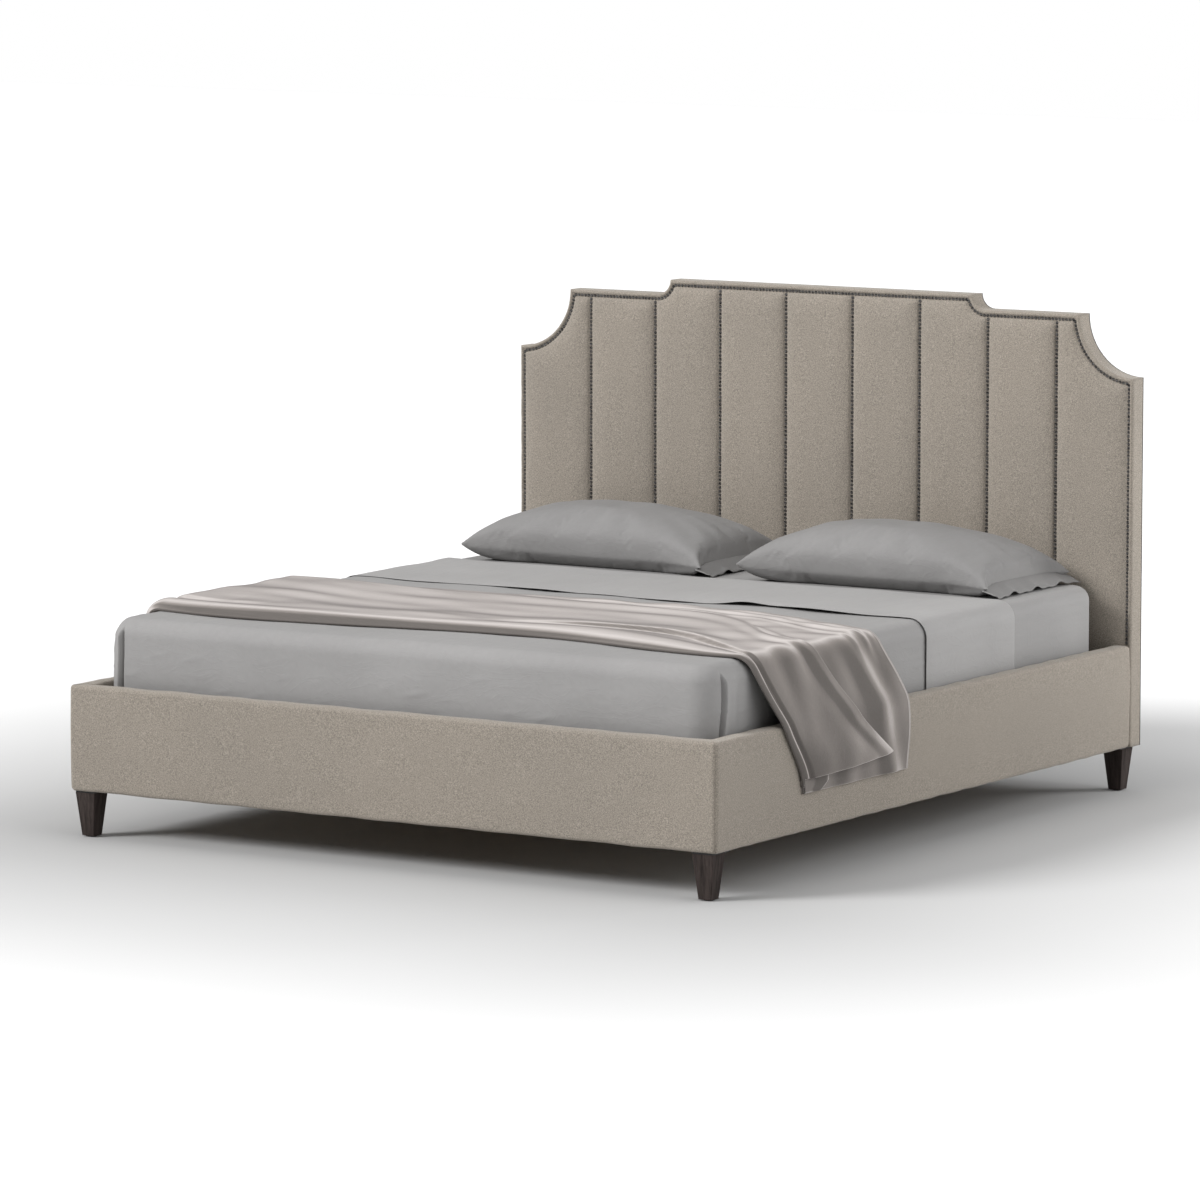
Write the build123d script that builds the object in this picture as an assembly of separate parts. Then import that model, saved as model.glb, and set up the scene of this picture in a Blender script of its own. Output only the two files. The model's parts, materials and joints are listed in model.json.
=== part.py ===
from build123d import *
import os
from math import sqrt

os.makedirs("parts", exist_ok=True)

# Upholstered panel bed with its mattress, sheets, two pillows and a throw.
# Millimetres. +X is to the right seen from the foot, +Y towards the headboard, +Z up.
# The origin is on the floor, in the middle of the bed's footprint.

# ---- Mattress and the room around it ----
mattress_width = 1800
mattress_length = 2000
mattress_height = 250
mattress_corner_radius = 60
mattress_edge_radius = 25
mattress_under_radius = 12.5  # edge of the mattress's underside
side_room = 25
foot_room = 33
head_room = 59
recess_depth = 85  # how far the mattress sits below the top of the rails

# ---- Rails: board, foam on the outer face, sewn cover all round ----
board_thickness = 36
rail_foam_thickness = 8
cover_thickness = 3
rail_height = 275
rail_edge_radius = 10
rail_corner_radius = 14
inner_corner_radius = 4

# ---- Headboard ----
headboard_height = 1318
headboard_depth = 55
centre_half_width = 481
curl_radius = 40  # small concave arc that drops from the centre to the step
scoop_radius = 165  # large concave arc that cuts off each upper corner
panel_thickness = 12
headboard_foam_thickness = 10
back_cloth_thickness = 1.2
outer_channel_extra = 8.75  # each outer channel is this much wider than the others
column_count = 8
channel_crown = 8
nail_inset = 14.5
nail_width = 9.5
nail_height = 2.5
trim_clearance = 2  # between the side rails' top and the nail lines' lower ends
seat_width = 11  # flat band of cover that each nail line sits on
headboard_edge_radius = 6
stile_width = 100
stile_top_gap = 3  # between a stile's top and the cover over the shoulder
post_width = 70
post_column = 1  # nail line that each post stands behind, counted from the side
headboard_rail_height = 180
top_rail_height = 70

# ---- Legs ----
leg_height = 113
leg_top = 60
leg_bottom = 37
leg_edge_radius = 2
leg_side_setback = 43.4  # bed side to leg centre
leg_foot_setback = 37.5  # footboard face to leg centre
leg_head_setback = 9  # leg centre behind the headboard's face
plate_thickness = 4
plate_length = 82
plate_foot_gap = 2  # between a head plate and its leg's front face
plate_margin = 4.5  # plate screw centre to the plate's end
plate_screw_spread = 18
glide_thickness = 3
glide_radius = 12

# ---- Slatted deck ----
slat_thickness = 18
slat_width = 70
slats_per_bank = 13
slat_end_gap = 4
ledger_width = 30
ledger_height = 40
ledger_end_gap = 70
ledger_screw_count = 7
beam_width = 60
beam_height = 60
beam_end_gap = 2
centre_leg_width = 45
centre_leg_spacing = 700
strap_width = 25
strap_thickness = 1.2
strap_inner_x = 300
strap_outer_x = 650
hanger_thickness = 3
hanger_reach = 60
hanger_tab = 20  # screw tab below the seat of a beam hanger

# ---- Corner joints ----
block_width = 60
block_height = 110
bracket_width = 60
bracket_height = 105
bracket_thickness = 4
bracket_rise = 20  # underside of the rails to the brackets and blocks
bolt_radius = 4
bolt_head_radius = 7
bolt_head_height = 5
bolt_bite = 18
insert_radius = 6.5
insert_length = 16
wide_bolt_spread = 70
narrow_bolt_spread = 30

# ---- Screws ----
screw_radius = 2.5
screw_head_radius = 4.5
screw_head_height = 2.5
screw_bite = 24
drill_clearance = 0.2
drill_depth_extra = 1  # drilled holes run this much deeper than what goes into them
leg_bolt_bite = 35

# ---- Bedding ----
fitted_sheet_thickness = 1.5
coverlet_thickness = 4
turn_down_room = 466  # mattress head to the fold of the turned-down coverlet
turn_down_width = 476  # from the fold to the coverlet's free edge
pillow_width = 800
pillow_depth = 460
pillow_height = 158
pillow_seam_height = 45  # seam above what the pillow lies on
pillow_foot_inset = 60  # how far the underside's flat part stops short of the seam
pillow_spacing = 885
pillow_head_gap = 40  # pillow to headboard
throw_thickness = 8
throw_width = 700
throw_foot_gap = 300  # footboard's inner face to the throw
throw_hang_height = 228  # throw's hems above the floor
soft_clearance = 0.3  # soft things on different bodies stay this far apart

# ---- Levels and lines worked out from the sizes above ----
rail_thickness = board_thickness + rail_foam_thickness + 2 * cover_thickness
inner_half = mattress_width / 2 + side_room
bed_half = inner_half + rail_thickness
inner_length = mattress_length + foot_room + head_room
overall_length = rail_thickness + inner_length + headboard_depth
y_foot = -overall_length / 2
y_inner = y_foot + rail_thickness
y_head = y_inner + inner_length
y_back = y_head + headboard_depth
y_mattress = y_inner + foot_room

plate_bottom = glide_thickness + leg_height
frame_bottom = plate_bottom + plate_thickness
rail_top = frame_bottom + rail_height
deck_top = rail_top - recess_depth
deck_bottom = deck_top - slat_thickness
beam_bottom = deck_bottom - beam_height
mattress_top = deck_top + mattress_height
step_height = headboard_height - curl_radius
trim_bottom = rail_top + trim_clearance
border_inset = nail_inset + seat_width / 2
bracket_bottom = frame_bottom + bracket_rise

y_foam = y_head + cover_thickness
y_panel = y_foam + headboard_foam_thickness
y_timber = y_panel + panel_thickness
y_cloth = y_back - back_cloth_thickness
leg_x = bed_half - leg_side_setback
board_x = inner_half + cover_thickness + board_thickness / 2
channel_pitch = 2 * (bed_half - nail_inset - outer_channel_extra) / (column_count + 1)
column_lines = [(k - (column_count - 1) / 2) * channel_pitch for k in range(column_count)]

parts = {}


def block(x0, x1, y0, y1, z0, z1):
    """Plain box between three pairs of limits."""
    return Pos(x0, y0, z0) * Box(x1 - x0, y1 - y0, z1 - z0, align=(Align.MIN, Align.MIN, Align.MIN))


def mirrored(solid):
    """The same solid on the other side of the bed."""
    return mirror(solid, about=Plane.YZ)


def add_pair(name, right):
    """Keep a right-hand piece and its left-hand twin as two nodes."""
    parts[name + "_right"] = [right]
    parts[name + "_left"] = [mirrored(right)]


def both_sides(solids):
    """A list of right-hand solids together with their left-hand twins."""
    return solids + [mirrored(solid) for solid in solids]


# ---- Rails ----


def rail_ring(inset):
    """The two side rails and the footboard in one U-shaped block, shrunk by inset on each face."""
    y_end = y_head - inset
    outer_y = y_foot + inset
    inner_y = y_inner - inset
    outer = bed_half - inset
    inner = inner_half + inset
    plan = Pos(0, (outer_y + y_end) / 2) * Rectangle(2 * outer, y_end - outer_y)
    plan = fillet(plan.vertices().sort_by(Axis.Y)[:2], rail_corner_radius - inset)
    hole = Pos(0, (inner_y + y_end) / 2) * Rectangle(2 * inner, y_end - inner_y)
    hole = fillet(hole.vertices().sort_by(Axis.Y)[:2], inner_corner_radius + inset)
    ring = Pos(0, 0, frame_bottom + inset) * extrude(plan - hole, rail_height - 2 * inset)
    level = ring.faces().filter_by(Axis.Z).edges()
    ends = ring.faces().sort_by(Axis.Y)[-2:].edges().filter_by(Axis.Z)
    return fillet(level + ends, rail_edge_radius - inset).solid()


def foot_region():
    """Wedge-ended block that holds the footboard's share of the ring, mitred at 45 degrees."""
    reach = 2 * rail_thickness
    corner = bed_half + rail_thickness
    inside = bed_half - reach
    outline = Polyline(
        (-corner, y_foot - rail_thickness),
        (corner, y_foot - rail_thickness),
        (inside, y_foot + reach),
        (-inside, y_foot + reach),
        close=True,
    )
    return extrude(make_face(outline), 2 * rail_top)


def split_ring(ring, region):
    """Footboard, left and right pieces of a ring."""
    foot = ring & region
    sides = (ring - region).solids().sort_by(Axis.X)
    return foot.solid(), sides[0], sides[-1]


def build_rails():
    region = foot_region()
    core = rail_ring(cover_thickness)
    skin = rail_ring(0) - core
    foam_face = cover_thickness + rail_foam_thickness
    half = bed_half - foam_face
    boards = core & block(-half, half, y_foot + foam_face, y_head, 0, rail_top)
    foam = core - boards
    for kind, ring in (("board", boards), ("foam", foam), ("cover", skin)):
        foot, left, right = split_ring(ring, region)
        parts["footboard_" + kind] = [foot]
        parts["side_rail_" + kind + "_left"] = [left]
        parts["side_rail_" + kind + "_right"] = [right]


# ---- Headboard ----


def headboard_slab(inset, y0, y1):
    """The headboard's stepped and scooped outline, moved inwards by inset, from y0 to y1."""
    half = bed_half - inset
    bottom = frame_bottom + inset
    top = headboard_height - inset
    step = step_height - inset
    scoop = scoop_radius + inset
    curl = curl_radius + inset
    curl_x = centre_half_width + curl_radius
    scoop_reach = sqrt(scoop**2 - inset**2)
    curl_reach = sqrt(curl**2 - inset**2)
    diagonal = sqrt(0.5)
    side_top = (half, y0, step_height - scoop_reach)
    scoop_middle = (bed_half - scoop * diagonal, y0, step_height - scoop * diagonal)
    scoop_end = (bed_half - scoop_reach, y0, step)
    curl_start = (curl_x, y0, step)
    curl_middle = (curl_x - curl * diagonal, y0, headboard_height - curl * diagonal)
    curl_end = (curl_x - curl_reach, y0, top)
    right = [
        Line((0, y0, bottom), (half, y0, bottom)),
        Line((half, y0, bottom), side_top),
        ThreePointArc(side_top, scoop_middle, scoop_end),
        Line(scoop_end, curl_start),
        ThreePointArc(curl_start, curl_middle, curl_end),
        Line(curl_end, (0, y0, top)),
    ]
    left = [mirror(edge, about=Plane.YZ) for edge in right]
    outline = Face(Wire([edge.edge() for edge in right + left]))
    return extrude(outline, amount=y1 - y0, dir=(0, 1, 0)).solid()


def padded_slab(inset, y0, y1):
    """Headboard slab whose front edge is rounded over."""
    slab = headboard_slab(inset, y0, y1)
    front = slab.faces().sort_by(Axis.Y)[0].edges()
    return fillet(front, headboard_edge_radius - inset).solid()


def channel_limits():
    """Left and right limit of each channel's crown, between the nail lines."""
    edge = bed_half - border_inset
    lines = [-edge - seat_width / 2] + column_lines + [edge + seat_width / 2]
    half_seat = seat_width / 2
    return [(a + half_seat, b - half_seat) for a, b in zip(lines[:-1], lines[1:])]


def crowns(y_chord, inset):
    """The rounded fronts of all the channels, standing forward of a flat plane."""
    room = headboard_slab(border_inset + inset, y_chord - 2 * channel_crown, y_chord)
    result = []
    for x0, x1 in channel_limits():
        start = (x0, y_chord, trim_bottom + inset)
        end = (x1, y_chord, trim_bottom + inset)
        peak = ((x0 + x1) / 2, y_chord - channel_crown, trim_bottom + inset)
        face = Face(Wire([ThreePointArc(start, peak, end), Line(end, start)]))
        bar = extrude(face, amount=headboard_height, dir=(0, 0, 1))
        result.append((bar & room).solid())
    return result


def build_headboard():
    outer = padded_slab(0, y_head, y_cloth)
    for crown in crowns(y_head, 0):
        outer = outer + crown
    inner = padded_slab(cover_thickness, y_foam, y_cloth)
    foam_crowns = crowns(y_foam, cover_thickness)
    foam_block = inner & block(-bed_half, bed_half, y_foam, y_panel, 0, headboard_height)
    for crown in foam_crowns:
        inner = inner + crown
    parts["headboard_cover"] = [(outer - inner).solid()]

    seams = [-bed_half] + column_lines + [bed_half]
    for number, (x0, x1) in enumerate(zip(seams[:-1], seams[1:]), start=1):
        strip = foam_block & block(x0, x1, y_foam, y_panel, 0, headboard_height)
        parts["channel_foam_%d" % number] = [(strip + foam_crowns[number - 1]).solid()]

    parts["headboard_panel"] = [headboard_slab(cover_thickness, y_panel, y_timber)]
    parts["headboard_back_cloth"] = [headboard_slab(0, y_cloth, y_back)]

    side = bed_half - cover_thickness
    bottom = frame_bottom + cover_thickness
    shoulder = step_height - scoop_radius - cover_thickness - stile_top_gap
    stile_x = side - stile_width
    add_pair("headboard_stile", block(stile_x, side, y_timber, y_cloth, bottom, shoulder))
    rail_z = bottom + headboard_rail_height
    parts["headboard_lower_rail"] = [block(-stile_x, stile_x, y_timber, y_cloth, bottom, rail_z)]
    post_x = -column_lines[post_column] - post_width / 2
    post_top = step_height - cover_thickness
    post = block(post_x, post_x + post_width, y_timber, y_cloth, rail_z, post_top)
    add_pair("headboard_post", post)
    top_z = post_top - top_rail_height
    parts["headboard_top_rail"] = [block(-post_x, post_x, y_timber, y_cloth, top_z, post_top)]


def build_nail_trim():
    y_nail = y_head - nail_height
    above = block(-bed_half, bed_half, y_nail, y_head, trim_bottom, headboard_height)
    ring = headboard_slab(nail_inset - nail_width / 2, y_nail, y_head)
    field = headboard_slab(nail_inset + nail_width / 2, y_nail, y_head)
    parts["nail_trim_border"] = [((ring - field) & above).solid()]
    inside = headboard_slab(nail_inset + nail_width / 2 + drill_clearance, y_nail, y_head) & above
    columns = []
    for x in column_lines:
        lane = block(x - nail_width / 2, x + nail_width / 2, y_nail, y_head, 0, headboard_height)
        columns.append((inside & lane).solid())
    parts["nail_trim_columns"] = columns


# ---- Fasteners ----


def aimed(solid, start, direction):
    """Turn a solid that is built along +Z so that it starts at a point and runs along a direction."""
    return Plane(origin=start, z_dir=direction).location * solid


def upright(radius, height, bottom=0):
    """Cylinder on +Z."""
    align = (Align.CENTER, Align.CENTER, Align.MIN)
    return Pos(0, 0, bottom) * Cylinder(radius, height, align=align)


def pan_fastener(radius, length, head_radius, head_height):
    """Shank with a round head that stands below z = 0."""
    return upright(radius, length) + upright(head_radius, head_height, -head_height)


def flat_screw(length):
    """Countersunk wood screw whose head is flush with z = 0."""
    head = Cone(
        screw_head_radius,
        screw_radius,
        screw_head_height,
        align=(Align.CENTER, Align.CENTER, Align.MIN),
    )
    return upright(screw_radius, length) + head


def drill(names, tool):
    """Cut a tool out of every solid of the named nodes."""
    for name in names:
        parts[name] = [(solid - tool).solid() for solid in parts[name]]


def drill_through(names, starts, direction, radius, length):
    """Holes of one size from several points."""
    for start in starts:
        drill(names, aimed(upright(radius, length), start, direction))


def fit_bolts(starts, direction, names, insert_names, grip):
    """Bolts with insert nuts: grip is everything the bolt passes before the insert."""
    length = grip + bolt_bite
    depth = length + drill_depth_extra
    drill_through(names, starts, direction, bolt_radius + drill_clearance, depth)
    tool_start = [tuple(a + grip * b for a, b in zip(start, direction)) for start in starts]
    pocket = insert_radius + drill_clearance / 2
    drill_through(insert_names, tool_start, direction, pocket, insert_length)
    drill_through(insert_names, starts, direction, bolt_radius + drill_clearance, depth)
    bolt = pan_fastener(bolt_radius, length, bolt_head_radius, bolt_head_height)
    bore = upright(bolt_radius + drill_clearance, insert_length)
    insert = upright(insert_radius, insert_length) - bore
    bolts = [aimed(bolt, start, direction) for start in starts]
    inserts = [aimed(insert, start, direction) for start in tool_start]
    return bolts, inserts


def build_corner_joints():
    low = bracket_bottom
    block_x = inner_half - block_width
    block_y = y_inner + block_width
    high = low + block_height
    corner = block(block_x, inner_half, y_inner, block_y, low, high)
    tight_edge = corner.edges().filter_by(Axis.Z).group_by(Axis.X)[-1].sort_by(Axis.Y)[0]
    add_pair("corner_block", chamfer(tight_edge, inner_corner_radius).solid())

    arm = inner_half - bracket_width
    lug_y = y_head - bracket_width
    top = low + bracket_height
    on_rail = block(inner_half - bracket_thickness, inner_half, lug_y, y_head, low, top)
    on_head = block(arm, inner_half, y_head - bracket_thickness, y_head, low, top)
    add_pair("headboard_bracket", on_rail + on_head)

    bolts = []
    inserts = []
    for sign, side in ((1, "right"), (-1, "left")):
        corner = "corner_block_" + side
        rail = ["side_rail_board_" + side]
        rail_skin = "side_rail_cover_" + side
        bracket = "headboard_bracket_" + side
        outer_foam = "channel_foam_%d" % (column_count + 1 if sign > 0 else 1)
        middle = low + block_height / 2
        sideways = (sign, 0, 0)
        to_head = (0, 1, 0)
        to_foot = (0, -1, 0)

        wide = [middle - wide_bolt_spread / 2, middle + wide_bolt_spread / 2]
        narrow = [middle - narrow_bolt_spread / 2, middle + narrow_bolt_spread / 2]
        joint_y = y_inner + block_width / 2
        starts = [(sign * block_x, joint_y, z) for z in wide]
        grip = block_width + cover_thickness
        made = fit_bolts(starts, sideways, [corner, rail_skin], rail, grip)
        bolts += made[0]
        inserts += made[1]

        joint_x = sign * (block_x + block_width / 2)
        starts = [(joint_x, block_y, z) for z in narrow]
        skins = [corner, "footboard_cover"]
        made = fit_bolts(starts, to_foot, skins, ["footboard_board"], grip)
        bolts += made[0]
        inserts += made[1]

        joint_y = lug_y + bracket_width / 2
        starts = [(sign * (inner_half - bracket_thickness), joint_y, z) for z in wide]
        grip = bracket_thickness + cover_thickness
        made = fit_bolts(starts, sideways, [bracket, rail_skin], rail, grip)
        bolts += made[0]
        inserts += made[1]

        starts = [(sign * (arm + bracket_width / 2), y_head - bracket_thickness, z) for z in narrow]
        grip = y_timber - y_head + bracket_thickness
        skins = [bracket, "headboard_cover", outer_foam, "headboard_panel"]
        made = fit_bolts(starts, to_head, skins, ["headboard_stile_" + side], grip)
        bolts += made[0]
        inserts += made[1]
    parts["frame_bolts"] = bolts
    parts["insert_nuts"] = inserts


# ---- Legs ----


def build_legs():
    foot_y = y_foot + leg_foot_setback
    head_y = y_head + leg_head_setback
    half_top = leg_top / 2
    shank = bolt_radius + drill_clearance
    plates = []
    bolts = []
    screws = []
    glides = []
    bolt_length = plate_thickness + leg_bolt_bite
    screw_length = plate_thickness + cover_thickness + screw_bite
    length = screw_length + drill_depth_extra
    for place, leg_y, plate_y in (
        ("foot", foot_y, y_foot + rail_edge_radius),
        ("head", head_y, head_y - half_top - 2 * plate_margin - plate_foot_gap),
    ):
        top = Pos(leg_x, leg_y, plate_bottom) * Rectangle(leg_top, leg_top)
        bottom = Pos(leg_x, leg_y, glide_thickness) * Rectangle(leg_bottom, leg_bottom)
        leg = loft([bottom, top])
        upright_edges = leg.edges().filter_by(lambda edge: edge.length > leg_height)
        leg = fillet(upright_edges, leg_edge_radius)
        socket = Pos(leg_x, leg_y, frame_bottom - bolt_length - drill_depth_extra) * upright(
            shank, bolt_length + drill_depth_extra
        )
        add_pair(place + "_leg", (leg - socket).solid())
        plate_x = leg_x - half_top
        plate = block(
            plate_x,
            plate_x + leg_top,
            plate_y,
            plate_y + plate_length,
            plate_bottom,
            frame_bottom,
        )
        plate = plate - socket
        spots = [
            (board_x + side * plate_screw_spread / 2, y, plate_bottom)
            for side in (-1, 1)
            for y in (plate_y + plate_margin, plate_y + plate_length - plate_margin)
        ]
        for spot in spots:
            screw = Pos(*spot) * flat_screw(screw_length)
            room = Pos(*spot) * flat_screw(length)
            plate = plate - room
            screws.append(screw)
        plates.append(plate.solid())
        bolts.append(Pos(leg_x, leg_y, frame_bottom - bolt_length) * upright(bolt_radius, bolt_length))
        glides.append(Pos(leg_x, leg_y, 0) * upright(glide_radius, glide_thickness))
    parts["leg_plates"] = both_sides(plates)
    screws = both_sides(screws)
    parts["flat_head_screws"] += screws
    for screw in screws:
        at = screw.center(CenterOf.BOUNDING_BOX)
        spot = [(at.X, at.Y, plate_bottom)]
        side = "right" if at.X > 0 else "left"
        names = ["side_rail_cover_" + side, "side_rail_board_" + side]
        if at.Y > y_head:
            names = ["headboard_cover", "headboard_stile_" + side]
        elif at.Y < y_inner:
            names += ["footboard_cover", "footboard_board"]
        drill_through(names, spot, (0, 0, 1), screw_radius + drill_clearance, length)

    for place, y in (("foot", -centre_leg_spacing / 2), ("head", centre_leg_spacing / 2)):
        half = centre_leg_width / 2
        joint = Pos(0, y, beam_bottom - leg_bolt_bite) * upright(bolt_radius, 2 * leg_bolt_bite)
        room_length = 2 * (leg_bolt_bite + drill_depth_extra)
        room = Pos(0, y, beam_bottom - room_length / 2) * upright(shank, room_length)
        post = block(-half, half, y - half, y + half, glide_thickness, beam_bottom)
        parts["centre_leg_" + place] = [(post - room).solid()]
        drill(["centre_beam"], room)
        bolts.append(joint)
        glides.append(Pos(0, y, 0) * upright(glide_radius, glide_thickness))
    parts["leg_bolts"] = both_sides(bolts[:2]) + bolts[2:]
    parts["leg_glides"] = both_sides(glides[:2]) + glides[2:]


# ---- Slatted deck ----


def build_deck():
    ledger_x = inner_half - ledger_width
    ledger_z = deck_bottom - ledger_height
    ledger_y = y_inner + ledger_end_gap
    ledger_end = y_head - ledger_end_gap
    ledger = block(ledger_x, inner_half, ledger_y, ledger_end, ledger_z, deck_bottom)
    add_pair("side_ledger", ledger)

    beam_start = y_inner + hanger_thickness + beam_end_gap
    beam_stop = y_head - hanger_thickness - beam_end_gap
    half = beam_width / 2
    beam = block(-half, half, beam_start, beam_stop, beam_bottom, deck_bottom)
    parts["centre_beam"] = [beam]

    cheek = half + hanger_thickness
    seat_z = beam_bottom - hanger_thickness
    tab_z = seat_z - hanger_tab
    hangers = []
    for y0, wall_y in (
        (y_inner, y_inner),
        (y_head - hanger_reach, y_head - hanger_thickness),
    ):
        wall_end = wall_y + hanger_thickness
        outside = block(-cheek, cheek, y0, y0 + hanger_reach, seat_z, deck_bottom)
        slot = block(-half, half, y0, y0 + hanger_reach, beam_bottom, deck_bottom)
        wall = block(-cheek, cheek, wall_y, wall_end, seat_z, deck_bottom)
        tab = block(-half, half, wall_y, wall_end, tab_z, seat_z)
        hangers.append(((outside - slot) + wall + tab).solid())
    parts["beam_hangers"] = hangers

    first = y_mattress + slat_width / 2
    step = (mattress_length - slat_width) / (slats_per_bank - 1)
    rows = [first + step * number for number in range(slats_per_bank)]
    slat_start = slat_end_gap / 2
    slat_end = inner_half - slat_end_gap
    half_slat = slat_width / 2
    bank = [
        block(slat_start, slat_end, y - half_slat, y + half_slat, deck_bottom, deck_top)
        for y in rows
    ]
    parts["slats_right"] = bank
    parts["slats_left"] = [mirrored(slat) for slat in bank]
    straps = []
    for x in (strap_inner_x, strap_outer_x):
        edge = x - strap_width / 2
        y0 = rows[0] - half_slat
        y1 = rows[-1] + half_slat
        low = deck_bottom - strap_thickness
        straps.append(block(edge, edge + strap_width, y0, y1, low, deck_bottom))
    parts["slat_straps"] = both_sides(straps)

    length = slat_thickness + screw_bite
    spots = []
    for y in (rows[0], rows[-1]):
        for x in (inner_half - ledger_width / 2, beam_width / 4):
            spots += [(x, y, deck_top), (-x, y, deck_top)]
    down = (0, 0, -1)
    parts["flat_head_screws"] = [aimed(flat_screw(length), spot, down) for spot in spots]
    for spot in spots:
        side = "right" if spot[0] > 0 else "left"
        room = aimed(flat_screw(length + drill_depth_extra), spot, down)
        under = "centre_beam" if abs(spot[0]) < half else "side_ledger_" + side
        drill([under], room)
        drill_slats("slats_" + side, room, spot[1])


def drill_slats(name, tool, y):
    """Cut a screw hole in the one slat that lies at y."""
    near = slat_width / 2
    kept = []
    for slat in parts[name]:
        centre = slat.center(CenterOf.BOUNDING_BOX)
        kept.append((slat - tool).solid() if abs(centre.Y - y) < near else slat)
    parts[name] = kept


def build_frame_screws():
    """Screws that hold the ledgers and the beam hangers to the rails and the headboard."""
    screws = []
    ledger_mid = deck_bottom - ledger_height / 2
    room = inner_length - 2 * ledger_end_gap
    step = room / ledger_screw_count
    rows = [y_inner + ledger_end_gap + step * (n + 0.5) for n in range(ledger_screw_count)]
    grip = ledger_width + cover_thickness
    length = grip + screw_bite
    shank = screw_radius + drill_clearance
    for sign, side in ((1, "right"), (-1, "left")):
        starts = [(sign * (inner_half - ledger_width), y, ledger_mid) for y in rows]
        names = ["side_ledger_" + side, "side_rail_cover_" + side, "side_rail_board_" + side]
        drill_through(names, starts, (sign, 0, 0), shank, length + drill_depth_extra)
        screw = pan_fastener(screw_radius, length, screw_head_radius, screw_head_height)
        screws += [aimed(screw, start, (sign, 0, 0)) for start in starts]

    quarter = beam_width / 4
    tab_middle = beam_bottom - hanger_thickness - hanger_tab / 2
    middle_foam = "channel_foam_%d" % (column_count // 2 + 1)
    foot_names = ["beam_hangers", "footboard_cover", "footboard_board"]
    head_names = ["beam_hangers", "headboard_cover", middle_foam, "headboard_panel"]
    head_names.append("headboard_lower_rail")
    for wall_y, direction, names, depth in (
        (y_inner, (0, -1, 0), foot_names, cover_thickness),
        (y_head, (0, 1, 0), head_names, y_timber - y_head),
    ):
        face_y = wall_y - direction[1] * hanger_thickness
        starts = [(x, face_y, tab_middle) for x in (-quarter, quarter)]
        length = hanger_thickness + depth + screw_bite
        drill_through(names, starts, direction, shank, length + drill_depth_extra)
        screw = pan_fastener(screw_radius, length, screw_head_radius, screw_head_height)
        screws += [aimed(screw, start, direction) for start in starts]
    parts["frame_screws"] = screws


# ---- Mattress and bedding ----


def bed_block(outset, z0):
    """Mattress shape, grown by outset at the sides and on top, from z0 up."""
    width = mattress_width + 2 * outset
    length = mattress_length + 2 * outset
    height = mattress_top + outset - z0
    middle = y_mattress + mattress_length / 2
    plan = RectangleRounded(width, length, mattress_corner_radius + outset)
    body = Pos(0, middle, z0) * extrude(plan, height)
    rim = body.faces().sort_by(Axis.Z)[-1].edges()
    return fillet(rim, mattress_edge_radius + outset).solid()


def build_bedding():
    mattress = bed_block(0, deck_top)
    underside = mattress.faces().sort_by(Axis.Z)[0].edges()
    parts["mattress"] = [fillet(underside, mattress_under_radius).solid()]

    tuck = deck_top + mattress_edge_radius
    over_sheet = fitted_sheet_thickness
    over_cover = over_sheet + coverlet_thickness
    over_fold = over_cover + coverlet_thickness
    parts["fitted_sheet"] = [(bed_block(over_sheet, tuck) - bed_block(0, tuck)).solid()]

    wide = bed_half
    fold_y = y_mattress + mattress_length - turn_down_room
    edge_y = fold_y - turn_down_width
    high = mattress_top + mattress_height
    lower = bed_block(over_cover, tuck) & block(-wide, wide, y_foot, fold_y, 0, high)
    upper = bed_block(over_fold, tuck) & block(-wide, wide, edge_y, fold_y, 0, high)
    parts["coverlet"] = [((lower + upper) - bed_block(over_sheet, tuck)).solid()]

    pillow_y = y_head - channel_crown - pillow_head_gap - pillow_depth / 2
    pillow_z = mattress_top + over_sheet + soft_clearance
    add_pair("pillow", Pos(pillow_spacing / 2, pillow_y, pillow_z) * pillow_solid())

    parts["throw"] = [throw_solid(over_cover)]


def pillow_section(width):
    """Crowned section in the X-Z plane: flat underside, seams at both ends, arched top."""
    half = width / 2
    foot = half - pillow_foot_inset
    low = Line((-foot, 0, 0), (foot, 0, 0))
    right = Line((foot, 0, 0), (half, 0, pillow_seam_height))
    left = Line((-half, 0, pillow_seam_height), (-foot, 0, 0))
    top = ThreePointArc(
        (half, 0, pillow_seam_height), (0, 0, pillow_height), (-half, 0, pillow_seam_height)
    )
    return Face(Wire([low.edge(), right.edge(), top.edge(), left.edge()]))


def pillow_solid():
    """Pillow that is arched both ways, with its corners at the seam's height."""
    long_way = extrude(pillow_section(pillow_width), amount=pillow_depth, dir=(0, 1, 0))
    short_way = extrude(pillow_section(pillow_depth), amount=pillow_width, dir=(0, 1, 0))
    across = Pos(pillow_width / 2, 0, 0) * Rot(0, 0, 90) * short_way
    return (Pos(0, -pillow_depth / 2, 0) * long_way & across).solid()


def throw_path(offset, over):
    """Right half of the throw's section at some distance outside its inner face."""
    rim = mattress_edge_radius + over
    middle = (mattress_width / 2 - mattress_edge_radius, mattress_top - mattress_edge_radius)
    reach = rim + soft_clearance + offset
    face_x = bed_half + soft_clearance + offset
    top = (middle[0], middle[1] + reach)
    turn = (middle[0] + reach * sqrt(0.5), middle[1] + reach * sqrt(0.5))
    side = (middle[0] + reach, middle[1])
    edge = (face_x, rail_top + offset / 2)
    return top, turn, side, edge, (face_x, throw_hang_height)


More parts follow.
